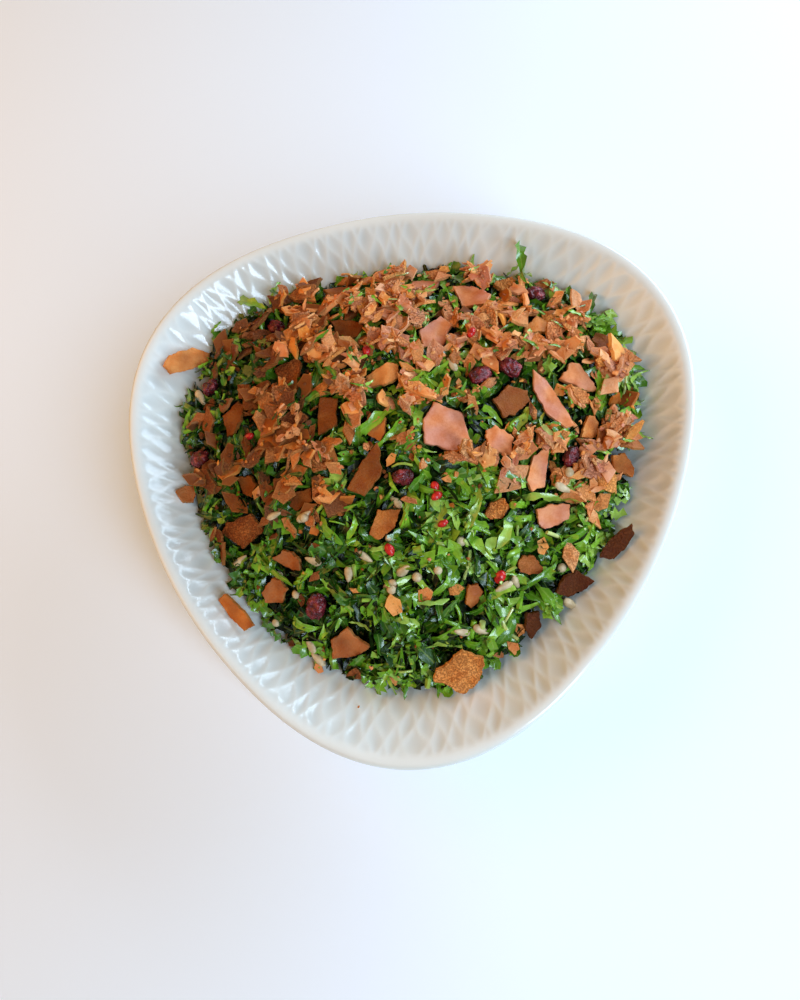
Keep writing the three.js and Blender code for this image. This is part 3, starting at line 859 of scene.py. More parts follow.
def lay_herbs(shapes, count, lengths, depths, tint, seed, reach=(0.0, 0.95), rise=0.0, palest=0.82):
    """Scatters leaf shapes over the heap, between two shares of its plan, and returns batches for joining."""
    chance = np.random.default_rng(seed)
    each = count // len(shapes)
    batches = []
    for shape in shapes:
        x, y, out = heap_places(chance, each, reach)
        depth = chance.uniform(*depths, each)
        turn = out + chance.uniform(-np.pi, np.pi, each) * (STRAY_FROM_OUTWARD if rise else 1)
        pitch = np.clip(chance.normal(rise, TILT, each), -STEEPEST, STEEPEST)
        axes = laid_axes(ways_up(x, y), turn, pitch, chance.normal(0, TILT, each))
        at = np.stack([x, y, heap_height(x, y, 0) - depth], axis=1)
        stretch = chance.uniform(*HERB_WIDTHS, each)
        curl = chance.normal(0, CURL, each)
        twist = chance.normal(0, TWIST, each)
        copies = laid(shape, at, axes, chance.uniform(*lengths, each), stretch, curl, twist)
        copies = lifted_off_wall(copies)
        looks = looks_of(chance, each, tint, HERB_GLOSS)
        deep = heap_height(x, y, 0) - copies[..., 2].mean(axis=1)
        looks[:, 0] += SHADE_TO_LEFT * np.clip(x / SIDE_REACH, -1, 1) - SHADE_WITH_DEPTH * np.maximum(0, deep)
        looks[:, 0] = np.clip(looks[:, 0], 0, palest)
        over = (copies[..., 2] - heap_height(copies[..., 0], copies[..., 1], 0)).max(axis=1)
        kept = clear_of_toppings(copies) & (over < HIGHEST)
        batches.append((shape, copies[kept], looks[kept]))
    return batches


# %% Leaf pieces
LEAF_EDGE = (0.92, 1.0)
EDGE_RISE = np.radians(8)
HERB_TINT = (0.72, 0.26)
leaf_batches = lay_herbs(
    leaflet_shapes, count=3000, lengths=(9 * MM, 19 * MM), depths=(0.5 * MM, 11 * MM),
    tint=HERB_TINT, seed=21,
)
leaf_batches += lay_herbs(
    leaflet_shapes, count=160, lengths=(6 * MM, 12 * MM), depths=(0, 2 * MM),
    tint=(0.75, 0.2), seed=24, reach=LEAF_EDGE,
)
leaves = join_copies("parsley_leaves", leaf_batches, herbs, "herbs")
shred_batches = lay_herbs(
    shred_shapes, count=2600, lengths=(13 * MM, 26 * MM), depths=(0.5 * MM, 9 * MM),
    tint=HERB_TINT, seed=22,
)
shred_batches += lay_herbs(
    shred_shapes, count=30, lengths=(9 * MM, 15 * MM), depths=(0, 3 * MM),
    tint=(0.65, 0.2), seed=25, reach=LEAF_EDGE, rise=EDGE_RISE,
)
shreds = join_copies("herb_shreds", shred_batches, herbs, "herbs")
ribbon_batches = lay_herbs(
    ribbon_shapes, count=1300, lengths=(10 * MM, 20 * MM), depths=(-1 * MM, 5 * MM),
    tint=(0.7, 0.26), seed=27,
)
ribbons = join_copies("herb_ribbons", ribbon_batches, herbs, "herbs")

# %% [markdown]
# ## Leaves that stand out
# A few long leaves and sprigs catch the eye in the photograph. Each is laid between two of its pixels: rays
# from the camera give the two places on the heap, and a leaf is stretched from one to the other and arched
# a little. Each entry below holds the first and last pixel of a leaf, its width and its tint.

# %% Between pixels and places
RAY_DISTANCES = np.linspace(0.25, 0.65, 4000)


def pixels_of(x, y):
    """Pixels of the photograph that show places on the heap."""
    at = np.stack([x, y, heap_height(x, y, 0)], axis=1) - np.array(camera.location)
    right, up, back = (at @ np.array(camera.rotation_quaternion.to_matrix())).T
    return PHOTO_SIZE[0] / 2 - FOCAL_PIXELS * right / back, PHOTO_SIZE[1] / 2 + FOCAL_PIXELS * up / back


def on_heap(pixels):
    """Places on the heap that pixels of the photograph show."""
    found = []
    for across, down in pixels:
        ray = Vector((across - PHOTO_SIZE[0] / 2, PHOTO_SIZE[1] / 2 - down, -FOCAL_PIXELS)).normalized()
        ray = camera.rotation_quaternion @ ray
        x, y, z = (camera.location[i] + RAY_DISTANCES * ray[i] for i in range(3))
        first = np.argmax(z <= heap_height(x, y, 0))
        found.append((x[first], y[first]))
    return tuple(np.array(found).T)


# %% Long leaves
LONG_LEAVES = [
    ((353, 435), (402, 404), 0.9, 0.72), ((398, 362), (444, 390), 0.4, 0.8),
    ((410, 352), (436, 396), 0.3, 0.75), ((446, 285), (461, 320), 0.5, 0.7),
    ((241, 302), (268, 312), 1.0, 0.7), ((272, 306), (282, 284), 0.8, 0.7),
    ((212, 334), (222, 322), 0.8, 0.6), ((232, 390), (268, 363), 1.9, 0.22),
    ((424, 522), (447, 552), 0.6, 0.6), ((484, 596), (502, 640), 0.7, 0.5),
    ((518, 252), (524, 290), 0.8, 0.5), ((594, 294), (586, 325), 0.7, 0.4),
    ((330, 520), (362, 500), 0.5, 0.6), ((560, 545), (600, 520), 0.6, 0.5),
    ((455, 500), (490, 520), 0.5, 0.6), ((520, 590), (560, 560), 0.5, 0.5),
    ((395, 600), (420, 640), 0.6, 0.6), ((260, 560), (300, 590), 0.5, 0.5),
]
ARCHES = (-0.5, -0.2)
LONG_TWIST = 1.0
LONG_GLOSS = (0.4, 0.9)
leaf_chance = np.random.default_rng(26)
starts, stops, widths, tints = (np.array(column, dtype=float) for column in zip(*LONG_LEAVES))
ends = [np.stack([x, y, heap_height(x, y, 0)], axis=1) for x, y in (on_heap(starts), on_heap(stops))]
spans = ends[1] - ends[0]
lengths = np.linalg.norm(spans, axis=1)
along = spans / lengths[:, None]
across = np.cross(ways_up(*ends[0].T[:2]), along)
across /= np.linalg.norm(across, axis=1, keepdims=True)
axes = along, across, np.cross(along, across)
leaf_count = len(LONG_LEAVES)
arch = leaf_chance.uniform(*ARCHES, leaf_count)
twist = leaf_chance.normal(0, LONG_TWIST, leaf_count)
long_copies = laid(shred_shapes[1], (ends[0] + ends[1]) / 2, axes, lengths, widths, arch, twist)
long_copies = lifted_off_wall(long_copies)
glosses = leaf_chance.uniform(*LONG_GLOSS, leaf_count)
long_looks = np.stack([tints, glosses, np.zeros(leaf_count)], axis=1)
join_copies("long_leaves", [(shred_shapes[1], long_copies, long_looks)], herbs, "herbs")

# %% [markdown]
# ## Stalks
# Chopped stalks and slices of green stem lie between the leaves: short, pale, bluntly cut rods. A cone with
# six sides and two loops along it is enough for one to bend a little.

# %% Stalk pieces
STALK_SIDES = 6
STALK_TAPER = 0.85


def stalk_shape(thickness):
    """A cut length of stalk, one unit long."""
    bm = bmesh.new()
    radii = {"radius1": thickness, "radius2": thickness * STALK_TAPER}
    bmesh.ops.create_cone(bm, cap_ends=True, segments=STALK_SIDES, depth=1, **radii)
    long_edges = [edge for edge in bm.edges if edge.calc_length() > 0.5]
    bmesh.ops.subdivide_edges(bm, edges=long_edges, cuts=2)
    bmesh.ops.rotate(bm, verts=bm.verts[:], matrix=Quaternion((0, 1, 0), np.pi / 2).to_matrix())
    layer = bm.verts.layers.float_vector.new("spot")
    for vert in bm.verts:
        vert[layer] = (vert.co.x, 1, 0.5)
    return as_shape(bm)


stalk_shapes = [stalk_shape(thickness) for thickness in (0.07, 0.1, 0.15)]
stalk_batches = lay_herbs(
    stalk_shapes, count=750, lengths=(6 * MM, 13 * MM), depths=(0, 5 * MM),
    tint=(0.92, 0.12), seed=23, palest=1.0,
)
stalks = join_copies("cut_stalks", stalk_batches, herbs, "herbs")

# %% [markdown]
# ## Toasted flatbread
# The bread was baked thin, toasted and broken. Its faces are a baked skin, smooth and orange or rosy brown,
# or torn crumb, rough and pitted, and the broken edges are lighter. The look's first number runs from dark
# toast to pale, its second from skin to crumb, and its third mixes an orange ramp with a rosy one. The spot's
# third number marks the rim, and two scales of noise do the toasting and the crumb.

# %% Bread finish
CRUMB_SIZE = 0.9 * MM
TOASTS = [
    (0.0, srgb(90, 42, 12)),
    (0.25, srgb(188, 107, 42)),
    (0.5, srgb(250, 162, 70)),
    (0.75, srgb(254, 184, 110)),
    (1.0, srgb(252, 192, 138)),
]
ROSES = [
    (0.0, srgb(78, 44, 26)),
    (0.25, srgb(178, 112, 68)),
    (0.5, srgb(246, 163, 106)),
    (0.75, srgb(230, 149, 104)),
    (1.0, srgb(218, 143, 120)),
]
PATCH_TINT = srgb(238, 206, 166)
EDGE_LIGHT = srgb(120, 82, 36)
PIT_TINT = srgb(160, 130, 104)
FLECK_TINT = srgb(226, 204, 186)
toasted_bread, tree, shader = new_finish("toasted_bread")
patch, grain = add_mottle(tree, 6 * MM, CRUMB_SIZE)
look, spot = look_and_spot(tree)
toast = mixed(tree, look["Z"], ramp(tree, look["X"], TOASTS), ramp(tree, look["X"], ROSES))
toast = mixed(tree, stretched(tree, patch, 0.42, 0.66, 0.0, 0.8), toast, PATCH_TINT, "MULTIPLY")
toast = mixed(tree, stretched(tree, spot["Z"], 0.7, 1.0, 0.0, 0.7), toast, EDGE_LIGHT, "SCREEN")
pits = stretched(tree, grain, 0.42, 0.56, 1.0, 0.0)
hollow = add_node(tree, "ShaderNodeMath", {0: pits, 1: look["Y"]}, operation="MULTIPLY").outputs[0]
toast = mixed(tree, stretched(tree, hollow, 0.0, 1.0, 0.0, 0.7), toast, PIT_TINT, "MULTIPLY")
fleck = stretched(tree, grain, 0.4, 0.65, 0.0, 0.4)
toast = mixed(tree, fleck, toast, FLECK_TINT, "MULTIPLY")
tree.links.new(toast, shader.inputs["Base Color"])
tree.links.new(stretched(tree, look["Y"], 0.0, 1.0, 0.42, 0.85), shader.inputs["Roughness"])
shader.inputs["Specular IOR Level"].default_value = 0.2
relief = add_node(tree, "ShaderNodeMath", {0: patch, 1: hollow}, operation="SUBTRACT").outputs[0]
add_bump(tree, shader, relief, 0.7, 1.0 * MM)
print("bread nodes:", len(tree.nodes))

# %% [markdown]
# ## The large chips
# Each of the forty large chips is a CAD node, a plain angular plate. A copy of it, merged and cut finer, gets
# what a broken chip has: a nibbled rim, faces with blisters or torn pits, and a look of its own whose tint
# varies a little over the chip. The chips are sorted by number into the kinds that the photograph shows. The
# rim only moves inwards, so each chip stays clear of its neighbours.

# %% Chip looks
# Two kinds carry painted shade: chips 14 and 24, and 3, 22, 29, 30, 32, 36, 37 and 38, lie in shade, mostly
# on the left and front, so their tints are set darker.
CHIP_KINDS = {
    "torn crumb": ((10, 28, 33), (0.48, 1.0, 0.3)),
    "torn crumb in shade": ((14, 24), (0.18, 1.0, 0.3)),
    "brown skin": ((11, 12, 13, 31), (0.24, 0.2, 0.7)),
    "toast in shade": ((3, 22, 29, 30, 32, 36, 37, 38), (0.12, 0.3, 0.0)),
    "dark toast": ((18, 19, 20), (0.02, 0.7, 0.0)),
    "pale skin": ((15, 25, 34, 39, 40), (0.42, 0.2, 0.4)),
}
TORN = CHIP_KINDS["torn crumb"][0] + CHIP_KINDS["torn crumb in shade"][0]
ROSY_SKIN = (1, 2, 4, 5, 6, 7, 8, 9, 35)
ROSY_TINTS = (0.75, 0.95)
ROSY_TORN, ROSY_HUE = 0.05, 0.9
PLAIN_SPANS = ((0.17, 0.28), (0.1, 0.5), (0, 0.3))
chip_chance = np.random.default_rng(31)


def chip_look(number):
    """Tint, tornness and rosiness of a chip, fixed by its kind or drawn at random for rosy and plain ones."""
    for numbers, fixed_look in CHIP_KINDS.values():
        if number in numbers:
            return fixed_look
    if number in ROSY_SKIN:
        return (chip_chance.uniform(*ROSY_TINTS), ROSY_TORN, ROSY_HUE)
    return tuple(chip_chance.uniform(*span) for span in PLAIN_SPANS)


print("kinds of chip:", {kind: len(numbers) for kind, (numbers, _) in CHIP_KINDS.items()})

# %% Copies of CAD nodes, to be cut finer
MERGE_DISTANCE = 0.01 * MM


def merged_copy(name):
    """A copy of a CAD node with its corners joined."""
    bm = bmesh.new()
    bm.from_mesh(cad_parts[name].data)
    bmesh.ops.remove_doubles(bm, verts=bm.verts[:], dist=MERGE_DISTANCE)
    return bm


def smoothed(bm, verts):
    """Moves vertices half way to the middle of their neighbours."""
    bmesh.ops.smooth_vert(bm, verts=verts, factor=0.5, use_axis_x=True, use_axis_y=True, use_axis_z=True)


# %% Chip pieces
CHIP_CUTS = 9
TORN_CUTS = 17
TORN_DEPTH = 0.7 * MM
LOBE = 0.22
LOBES_ROUND = 1.5
RIM_LEAN = 0.5
CHIP_SMOOTHING = 6
NIBBLE = 0.8 * MM
BITE_SIZE = 2.4 * MM
SMALL_BITE_SIZE = 1.1 * MM
SMALL_BITE = 0.6
BITE_MEAN = 0.4
PIT_MEAN = 0.2
BLISTER = 0.4 * MM
BLISTER_SIZE = 4.5 * MM
CHIP_VARIES = 0.5
CHIP_PATCH = 8 * MM
CHIP_SHARP = np.radians(50)


def inward_of(vert, middle, up):
    """The way from a vertex to the middle, along the plate."""
    inward = middle - vert.co
    return inward - inward.dot(up) * up


def chip_piece(name):
    """A broken chip from its CAD node."""
    number = int(name[-2:])
    bm = merged_copy(name)
    middle = sum((vert.co for vert in bm.verts), Vector()) / len(bm.verts)
    up = max(bm.faces, key=lambda face: face.calc_area()).normal.copy()
    is_torn = number in TORN
    cuts = TORN_CUTS if is_torn else CHIP_CUTS
    bmesh.ops.subdivide_edges(bm, edges=bm.edges[:], cuts=cuts, use_grid_fill=True)
    bmesh.ops.triangulate(bm, faces=bm.faces[:])
    layer = bm.verts.layers.float_vector.new("spot")
    bm.normal_update()
    rim = {vert for face in bm.faces if abs(face.normal.dot(up)) < RIM_LEAN for vert in face.verts}
    faces_only = [vert for vert in bm.verts if vert not in rim]
    for _ in range(CHIP_SMOOTHING):
        smoothed(bm, faces_only)
    for vert in bm.verts:
        inward = inward_of(vert, middle, up)
        round_about = LOBES_ROUND * inward.normalized() + up * number
        vert.co += LOBE * max(0, noise.noise(round_about)) * inward
    bm.normal_update()
    for vert in bm.verts:
        if vert in rim:
            inward = inward_of(vert, middle, up)
            flat = vert.co - vert.co.dot(up) * up
            bite = noise.noise(flat / BITE_SIZE) + SMALL_BITE * noise.noise(flat / SMALL_BITE_SIZE)
            vert.co += NIBBLE * max(0, BITE_MEAN + bite) * inward.normalized()
        elif is_torn:
            vert.co -= TORN_DEPTH * max(0, noise.noise(vert.co / CRUMB_SIZE) + PIT_MEAN) * vert.normal
        else:
            vert.co += BLISTER * noise.noise(vert.co / BLISTER_SIZE) * vert.normal
        vert[layer] = (0, 0, 1 if vert in rim else 0)
    looks = np.tile(chip_look(number), (len(bm.verts), 1))
    looks[:, 0] *= [1 + CHIP_VARIES * noise.noise(vert.co / CHIP_PATCH) for vert in bm.verts]
    mesh = smooth_mesh(bm, name + "_toast")
    carry(mesh, "look", np.clip(looks, 0, 1))
    mesh.set_sharp_from_angle(angle=CHIP_SHARP)
    return add_piece(name + "_toast", mesh, toasted_bread, "toasted_bread", name)


chips = [chip_piece(name) for name in chip_names]
print("chip triangles:", sum(triangles_of(chip.data) for chip in chips))

# %% [markdown]
# ## Dried berries
# The dried berries are dark red to purple, wrinkled and sticky. A copy of each CAD solid is cut finer and
# smoothed, and ridged noise draws its skin in along creases.

# %% Berry finish
dried_berry, tree, shader = new_finish("dried_berry")
patch, grain = add_mottle(tree, 3 * MM, 0.8 * MM)
REDS = [(0.3, srgb(54, 12, 20)), (0.55, srgb(112, 28, 38)), (0.75, srgb(184, 78, 80))]
tree.links.new(ramp(tree, patch, REDS), shader.inputs["Base Color"])
tree.links.new(stretched(tree, grain, 0.3, 0.7, 0.14, 0.34), shader.inputs["Roughness"])
add_bump(tree, shader, grain, 0.7, 0.6 * MM)
print("berry nodes:", len(tree.nodes))

# %% Berry pieces
BERRY_CUTS = 5
BERRY_SMOOTHING = 4
CREASE = 0.9 * MM
CREASE_SHARPNESS = 4
FOLD_SIZE = 4 * MM
PUCKER_SIZE = 1.5 * MM
PUCKER = 0.4


def crease(place, size):
    """One along the creases of a wrinkled skin, and nothing away from them."""
    return max(0, 1 - abs(noise.noise(place / size)) * CREASE_SHARPNESS)


def berry_piece(name):
    """A wrinkled berry from its CAD node."""
    bm = merged_copy(name)
    bmesh.ops.subdivide_edges(bm, edges=bm.edges[:], cuts=BERRY_CUTS, use_grid_fill=True)
    for _ in range(BERRY_SMOOTHING):
        smoothed(bm, bm.verts[:])
    bm.normal_update()
    for vert in bm.verts:
        depth = crease(vert.co, FOLD_SIZE) + PUCKER * crease(vert.co, PUCKER_SIZE)
        vert.co += -CREASE * depth * vert.normal
    mesh = smooth_mesh(bm, name + "_skin")
    return add_piece(name + "_skin", mesh, dried_berry, "dried_berry", name)


berries = [berry_piece(name) for name in berry_names]
print("berry triangles:", sum(triangles_of(berry.data) for berry in berries))

# %% [markdown]
# ## Dropping small things
# Flakes, crumbs and seeds lie on what is already there. Rays cast down give the height of the leaves and
# chips over the grid. Each small thing is turned at random and let down until some of it has sunk in, and the
# map is raised where it lies, so the next one lands on top of it. A thing that would cover a chip or lie too
# high is left out. Bread that lies low or far to the left is in shade, so its tint is darker.

# %% A map of the heap's top
cell_line, cell_column = np.mgrid[0:MAP_CELLS, 0:MAP_CELLS]
map_x = (cell_column + 0.5) * CELL - MAP_HALF
map_y = (cell_line + 0.5) * CELL - MAP_HALF
top_pieces = [leaves, shreds, ribbons, stalks, *chips, *berries]
top_tree = tree_of([piece.data for piece in top_pieces] + [core_mesh])
top_map = ray_map(top_tree, start=0.2, way=-1.0, empty=0.0)
top_map = np.maximum(top_map, wall_height(plan_radius(map_x, map_y)))
print("highest leaf or chip:", round(float(top_map.max()) / MM, 1), "mm")


# %% Points on a shape, and looks in the shade
DARKEST = (0.1, 0, 0)
# painted shade and light: dropped things get darker tints to the left and where they lie low, lighter where
# high
BREAD_SHADE_TO_LEFT = 0.68
BREAD_LIT_HEIGHT = 3 * MM
BREAD_SHADE_BELOW = 0.06 / MM
DARKER, LIGHTER = -0.35, 0.15


def face_samples(shape):
    """Weights that take a shape's vertices to points spread over its faces."""
    shares = [(1 / 3, 1 / 3, 1 / 3), (0.7, 0.15, 0.15), (0.15, 0.7, 0.15), (0.15, 0.15, 0.7)]
    weights = np.zeros((len(shares) * len(shape.triangles), len(shape.places)))
    for i, triangle in enumerate(shape.triangles):
        for j, share in enumerate(shares):
            weights[len(shares) * i + j, triangle] = share
    return weights


def looks_in_shade(chance, copies, looks):
    """Looks of dropped copies, with painted shade where low or to the left and painted light where high."""
    look = looks_of(chance, len(copies), *looks)
    x, y, z = copies.mean(axis=1).T
    look[:, 0] += BREAD_SHADE_TO_LEFT * np.clip(x / SIDE_REACH, -1, 0)
    height = z - heap_height(x, y, 0)
    look[:, 0] += np.clip(BREAD_SHADE_BELOW * (height - BREAD_LIT_HEIGHT), DARKER, LIGHTER)
    return np.clip(look, DARKEST, 1)


# %% Dropping
COVER = 0.12
PILE = 14 * MM


def drop(shapes, places, lengths, sink, looks, chance, tilt=0.35, widths=(0.9, 1.1), bend=0.0):
    """Lets copies of shapes down on the heap one by one. Returns batches for joining."""
    samples = [face_samples(shape) for shape in shapes]
    found = [[] for _ in shapes]
    x, y = places
    normal = ways_up(x, y)
    for i in range(len(x)):
        kind = chance.integers(len(shapes))
        pitch, roll = chance.uniform(-tilt, tilt, (2, 1))
        axes = laid_axes(normal[[i]], chance.uniform(0, 2 * np.pi, 1), pitch, roll)
        at = np.array([[x[i], y[i], 0.0]])
        stretch, curl = chance.uniform(*widths, 1), chance.normal(0, bend, 1)
        copy = laid(shapes[kind], at, axes, chance.uniform(*lengths, 1), stretch, curl, np.zeros(1))[0]
        points = samples[kind] @ copy
        cells = cell_of(points[:, 0], points[:, 1])
        if np.isfinite(topping_floor[cells]).mean() > COVER:
            continue
        rise = np.percentile(top_map[cells] - points[:, 2], 100 - sink)
        copy[:, 2] += rise
        if (copy[:, 2] - heap_height(copy[:, 0], copy[:, 1], 0)).max() > PILE:
            continue
        np.maximum.at(top_map, cells, points[:, 2] + rise)
        found[kind].append(copy)
    batches = []
    for shape, copies in zip(shapes, found):
        if copies:
            copies = np.stack(copies)
            batches.append((shape, copies, looks_in_shade(chance, copies, looks)))
    return batches


# %% [markdown]
# ## Flakes and crumbs
# Much of the bread has broken to flakes of 4 to 21 mm, which lie thickest over the back of the heap and thin
# out towards the front, in patches. A flake is a fan of four to six corners, moved at random, cut once finer
# and given a thickness. A crumb is an icosphere with its corners pushed about.

# %% Shapes of bread
FLAKE_THICKNESS = 0.1
FLAKE_CORNERS = (0.65, 1.15)
FLAKE_WIDTH = 0.85
FLAKE_STRAY = 0.03
CRUMB_CORNERS = (0.6, 1.1)
CRUMB_HEIGHT = 0.6
CRUMB_RIM = 0.7


def flake_shape(corners):
    """A broken flake, one unit long."""
    bm = bmesh.new()
    bmesh.ops.create_circle(bm, cap_ends=True, cap_tris=True, segments=corners, radius=0.5)
    for vert in bm.verts:
        vert.co *= shape_chance.uniform(*FLAKE_CORNERS)
        vert.co.y *= FLAKE_WIDTH
    bmesh.ops.subdivide_edges(bm, edges=bm.edges[:], cuts=1, use_grid_fill=True)
    for vert in bm.verts:
        vert.co += Vector(shape_chance.uniform(-FLAKE_STRAY, FLAKE_STRAY, 3))
    layer = bm.verts.layers.float_vector.new("spot")
    for vert in bm.verts:
        vert[layer] = (vert.co.x, vert.co.y, 1 if vert.is_boundary else 0)
    bmesh.ops.solidify(bm, geom=bm.faces[:], thickness=FLAKE_THICKNESS)
    bmesh.ops.recalc_face_normals(bm, faces=bm.faces[:])
    return as_shape(bm)


def crumb_shape():
    """A crumb, one unit long."""
    bm = bmesh.new()
    bmesh.ops.create_icosphere(bm, subdivisions=1, radius=0.5)
    layer = bm.verts.layers.float_vector.new("spot")
    for vert in bm.verts:
        vert.co *= shape_chance.uniform(*CRUMB_CORNERS)
        vert.co.z *= CRUMB_HEIGHT
        vert[layer] = (vert.co.x, vert.co.y, CRUMB_RIM)
    return as_shape(bm)


flake_shapes = [flake_shape(corners) for corners in (4, 5, 4, 5, 6, 5, 4, 6, 5, 4)]
crumb_shapes = [crumb_shape() for _ in range(4)]
print("flake faces:", [len(shape.triangles) for shape in flake_shapes])

# %% Where bread lies
BREAD_FRONT = [(150, 520), (250, 520), (330, 505), (420, 470), (480, 460), (560, 500), (650, 480)]
BREAD_FADE = 22
GREEN_PATCHES = [
    (262, 300), (250, 375), (438, 378), (395, 415), (335, 435), (510, 268), (480, 415),
    (615, 400), (205, 400), (215, 450), (285, 475), (225, 500), (300, 520),
]
PATCH_REACH = 17
PATCH_CLEARS = 0.9
LEFT_THIN = 200
LEFT_THICK = 320
LEFT_SHARE = 0.3
CLUSTER_SIZE = 16 * MM
CLUSTER_LAYER = 0.3
CLUSTER_MEAN = 0.9
CLUSTER_LEAST = 0.3
BREAD_REACH = (0.0, 0.96)
TRIES = 6


def bread_places(chance, count, least):
    """Places on the heap, thick behind the line where the bread ends and thin on the green patches."""
    x, y, _ = heap_places(chance, TRIES * count, BREAD_REACH)
    across, down = pixels_of(x, y)
    share = 0.5 - 0.5 * np.tanh((down - np.interp(across, *zip(*BREAD_FRONT))) / BREAD_FADE)
    share *= np.interp(across, (LEFT_THIN, LEFT_THICK), (LEFT_SHARE, 1.0))
    for patch_across, patch_down in GREEN_PATCHES:
        far = np.hypot(across - patch_across, down - patch_down) / PATCH_REACH
        share *= 1 - PATCH_CLEARS * np.exp(-(far**2))
    clusters = np.array([noise.noise(Vector((a, b, CLUSTER_LAYER)) / CLUSTER_SIZE) for a, b in zip(x, y)])
    share = least + (1 - least) * share * np.clip(CLUSTER_MEAN + clusters, CLUSTER_LEAST, 1)
    kept = chance.uniform(0, 1, len(x)) < share
    return x[kept][:count], y[kept][:count]


# %% Flakes and crumbs
bread_chance = np.random.default_rng(41)
BREAD_LOOKS = ((0.66, 0.25), (0.4, 0.35))
PALE_LOOKS = ((1.0, 0.1), (0.4, 0.35))
FLAKE_BEND = 0.3
FLAKES_IN_FRONT, CRUMBS_IN_FRONT = 0.006, 0.1
CRUMBS = 700
FLAKE_PIXELS = [
    (314, 530), (315, 576), (355, 592), (300, 600), (426, 595), (554, 592), (520, 630), (514, 649),
    (500, 655), (394, 682), (355, 675), (290, 643), (318, 668), (542, 522), (480, 520), (455, 590),
]
CRUMB_PIXELS = [(372, 668), (360, 707), (395, 586), (430, 560), (325, 660), (276, 623)]
FLAKE_SORTS = [
    (300, (10 * MM, 21 * MM), 16, 0.45),
    (400, (8 * MM, 15 * MM), 20, 0.65),
    (260, (8 * MM, 16 * MM), 30, 1.1),
    (320, (4 * MM, 8 * MM), 26, 0.8),
]
flakes = drop(
    flake_shapes, on_heap(FLAKE_PIXELS), lengths=(6 * MM, 10 * MM), sink=30,
    looks=BREAD_LOOKS, chance=bread_chance, widths=(0.6, 1.0), bend=FLAKE_BEND,
)
for count, lengths, sink, tilt in FLAKE_SORTS:
    places = bread_places(bread_chance, count, FLAKES_IN_FRONT)
    flakes += drop(
        flake_shapes, places, lengths, sink,
        looks=BREAD_LOOKS, chance=bread_chance, tilt=tilt, widths=(0.35, 1.0), bend=FLAKE_BEND,
    )
join_copies("bread_flakes", flakes, toasted_bread, "toasted_bread", 25)
places = bread_places(bread_chance, CRUMBS, CRUMBS_IN_FRONT)
crumbs = drop(
    crumb_shapes, places, lengths=(1.2 * MM, 3.2 * MM), sink=40, looks=BREAD_LOOKS, chance=bread_chance
)
crumbs += drop(
    crumb_shapes, on_heap(CRUMB_PIXELS), lengths=(1.5 * MM, 3 * MM), sink=30,
    looks=PALE_LOOKS, chance=bread_chance,
)
join_copies("bread_crumbs", crumbs, toasted_bread, "toasted_bread", 40)

# %% [markdown]
# ## Bits of green
# Where the bread lies thick, bits of leaf have fallen on it and break up the brown. They are short ribbons,
# dropped by the same rule as the bread and after it, so that they come to lie on top.

# %% Bits of green on the bread
BIT_LOOKS = ((0.55, 0.15), (0.3, 0.2))
BITS = 150
BITS_IN_FRONT = 0.02
places = bread_places(bread_chance, BITS, BITS_IN_FRONT)
bits = drop(
    ribbon_shapes, places, lengths=(6 * MM, 13 * MM), sink=40, looks=BIT_LOOKS, chance=bread_chance
)
join_copies("herb_bits", bits, herbs, "herbs")

# %% [markdown]
# ## Kernels, seeds and red berries
# Hulled sunflower kernels are pale, flat drops, pointed at one end. There are also small round seeds and a
# few bright red berries. Those that stand out in the photograph are placed by their pixels: a ray from the
# camera through a pixel finds the place on the heap, and the thing is dropped there like the rest.


# %% Seed and berry finishes
def seed_finish(name, patch_size, grain_size, colours, roughness):
    """A patchy skin with a slight grain."""
    finish, tree, shader = new_finish(name)
    patch, grain = add_mottle(tree, patch_size, grain_size)
    tree.links.new(ramp(tree, patch, colours), shader.inputs["Base Color"])
    shader.inputs["Roughness"].default_value = roughness
    add_bump(tree, shader, grain, 0.2, 0.2 * MM)
    return finish


BEIGES = [(0.3, srgb(178, 154, 114)), (0.7, srgb(216, 194, 156))]
SCARLETS = [(0.3, srgb(150, 14, 22)), (0.7, srgb(222, 44, 40))]
kernel_finish = seed_finish("sunflower_kernel", 3 * MM, 0.6 * MM, BEIGES, 0.5)
red_finish = seed_finish("red_berry", 2.5 * MM, 0.5 * MM, SCARLETS, 0.25)
print("finishes:", kernel_finish.name, red_finish.name)

# %% Kernels, seeds and red berries
ROUND_SIDES = 8
SEED_UNEVEN = (0.94, 1.06)


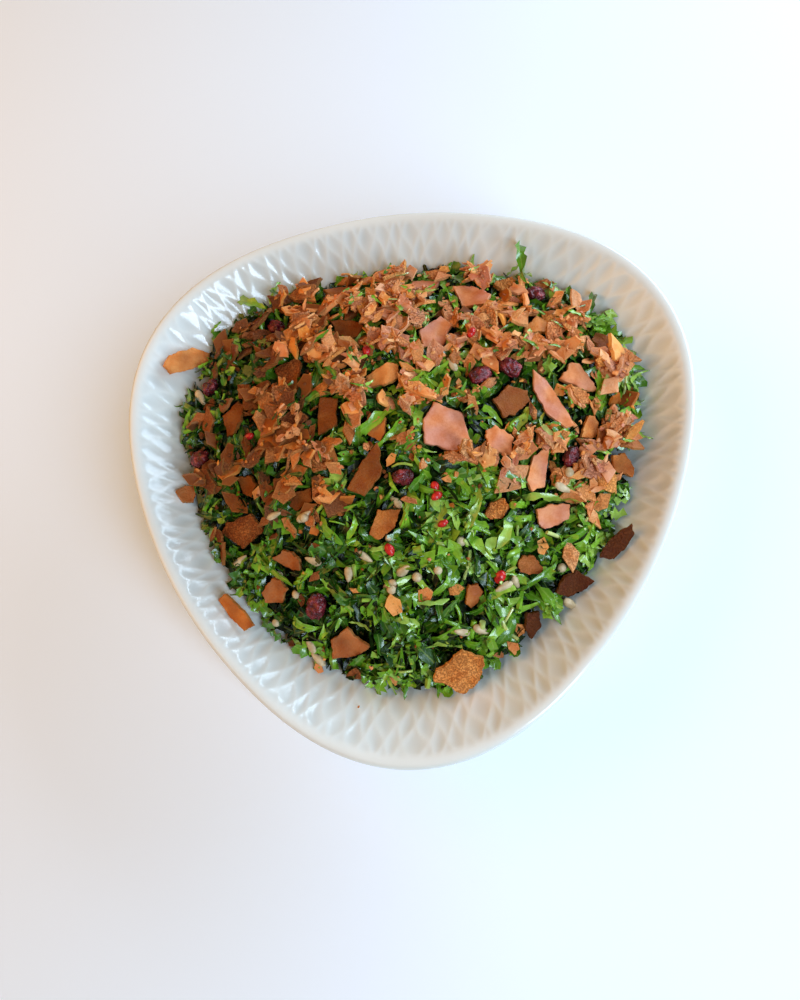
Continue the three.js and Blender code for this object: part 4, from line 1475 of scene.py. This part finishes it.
def round_shape(rings, point, wide, flat):
    """A ball, one unit long, drawn to a point at one end, narrowed and flattened."""
    bm = bmesh.new()
    bmesh.ops.create_uvsphere(bm, u_segments=ROUND_SIDES, v_segments=rings, radius=0.5)
    bmesh.ops.rotate(bm, verts=bm.verts[:], matrix=Quaternion((0, 1, 0), np.pi / 2).to_matrix())
    layer = bm.verts.layers.float_vector.new("spot")
    for vert in bm.verts:
        narrow = 1 - point * (vert.co.x + 0.5)
        vert[layer] = vert.co
        vert.co.y *= narrow * wide * shape_chance.uniform(*SEED_UNEVEN)
        vert.co.z *= narrow * flat
    return as_shape(bm)


KERNEL_PIXELS = [
    (313, 561), (349, 574), (365, 557), (311, 646), (318, 659), (504, 587), (516, 582),
    (452, 365), (385, 432), (200, 397), (240, 560), (571, 604), (395, 500),
]
SEED_PIXELS = [(438, 571), (417, 577), (461, 541), (392, 590), (276, 623), (562, 567)]
RED_PIXELS = [
    (435, 488), (437, 497), (250, 437), (390, 550), (500, 577),
    (368, 355), (472, 338), (421, 289), (443, 524),
]
SEEDS_BELOW = 460
SEED_REACH = (0.0, 0.97)
SEED_TRIES = 3
seed_chance = np.random.default_rng(51)
SEED_LOOKS = ((0.5, 0.2), (0.5, 0.2))


def strewn(pixels, count):
    """The places of chosen pixels, and others at random."""
    chosen = on_heap(pixels)
    x, y, _ = heap_places(seed_chance, SEED_TRIES * count, SEED_REACH)
    front = np.flatnonzero(pixels_of(x, y)[1] > SEEDS_BELOW)[:count]
    return np.append(chosen[0], x[front]), np.append(chosen[1], y[front])


def strew(name, shape, pixels, count, lengths, sink, finish, slot):
    """Drops seeds or berries at chosen and random places and joins them."""
    batches = drop([shape], strewn(pixels, count), lengths, sink, SEED_LOOKS, seed_chance)
    return join_copies(name, batches, finish, slot)


kernel = round_shape(rings=6, point=0.5, wide=0.6, flat=0.42)
seed = round_shape(rings=6, point=0, wide=1, flat=0.9)
red_berry = round_shape(rings=8, point=0.2, wide=0.8, flat=0.75)
strew(
    "sunflower_kernels", kernel, KERNEL_PIXELS, count=10, lengths=(8 * MM, 10 * MM), sink=38,
    finish=kernel_finish, slot="herbs",
)
strew(
    "round_seeds", seed, SEED_PIXELS, count=8, lengths=(3.5 * MM, 5 * MM), sink=45,
    finish=kernel_finish, slot="herbs",
)
strew(
    "red_berries", red_berry, RED_PIXELS, count=0, lengths=(5 * MM, 7 * MM), sink=30,
    finish=red_finish, slot="dried_berry",
)
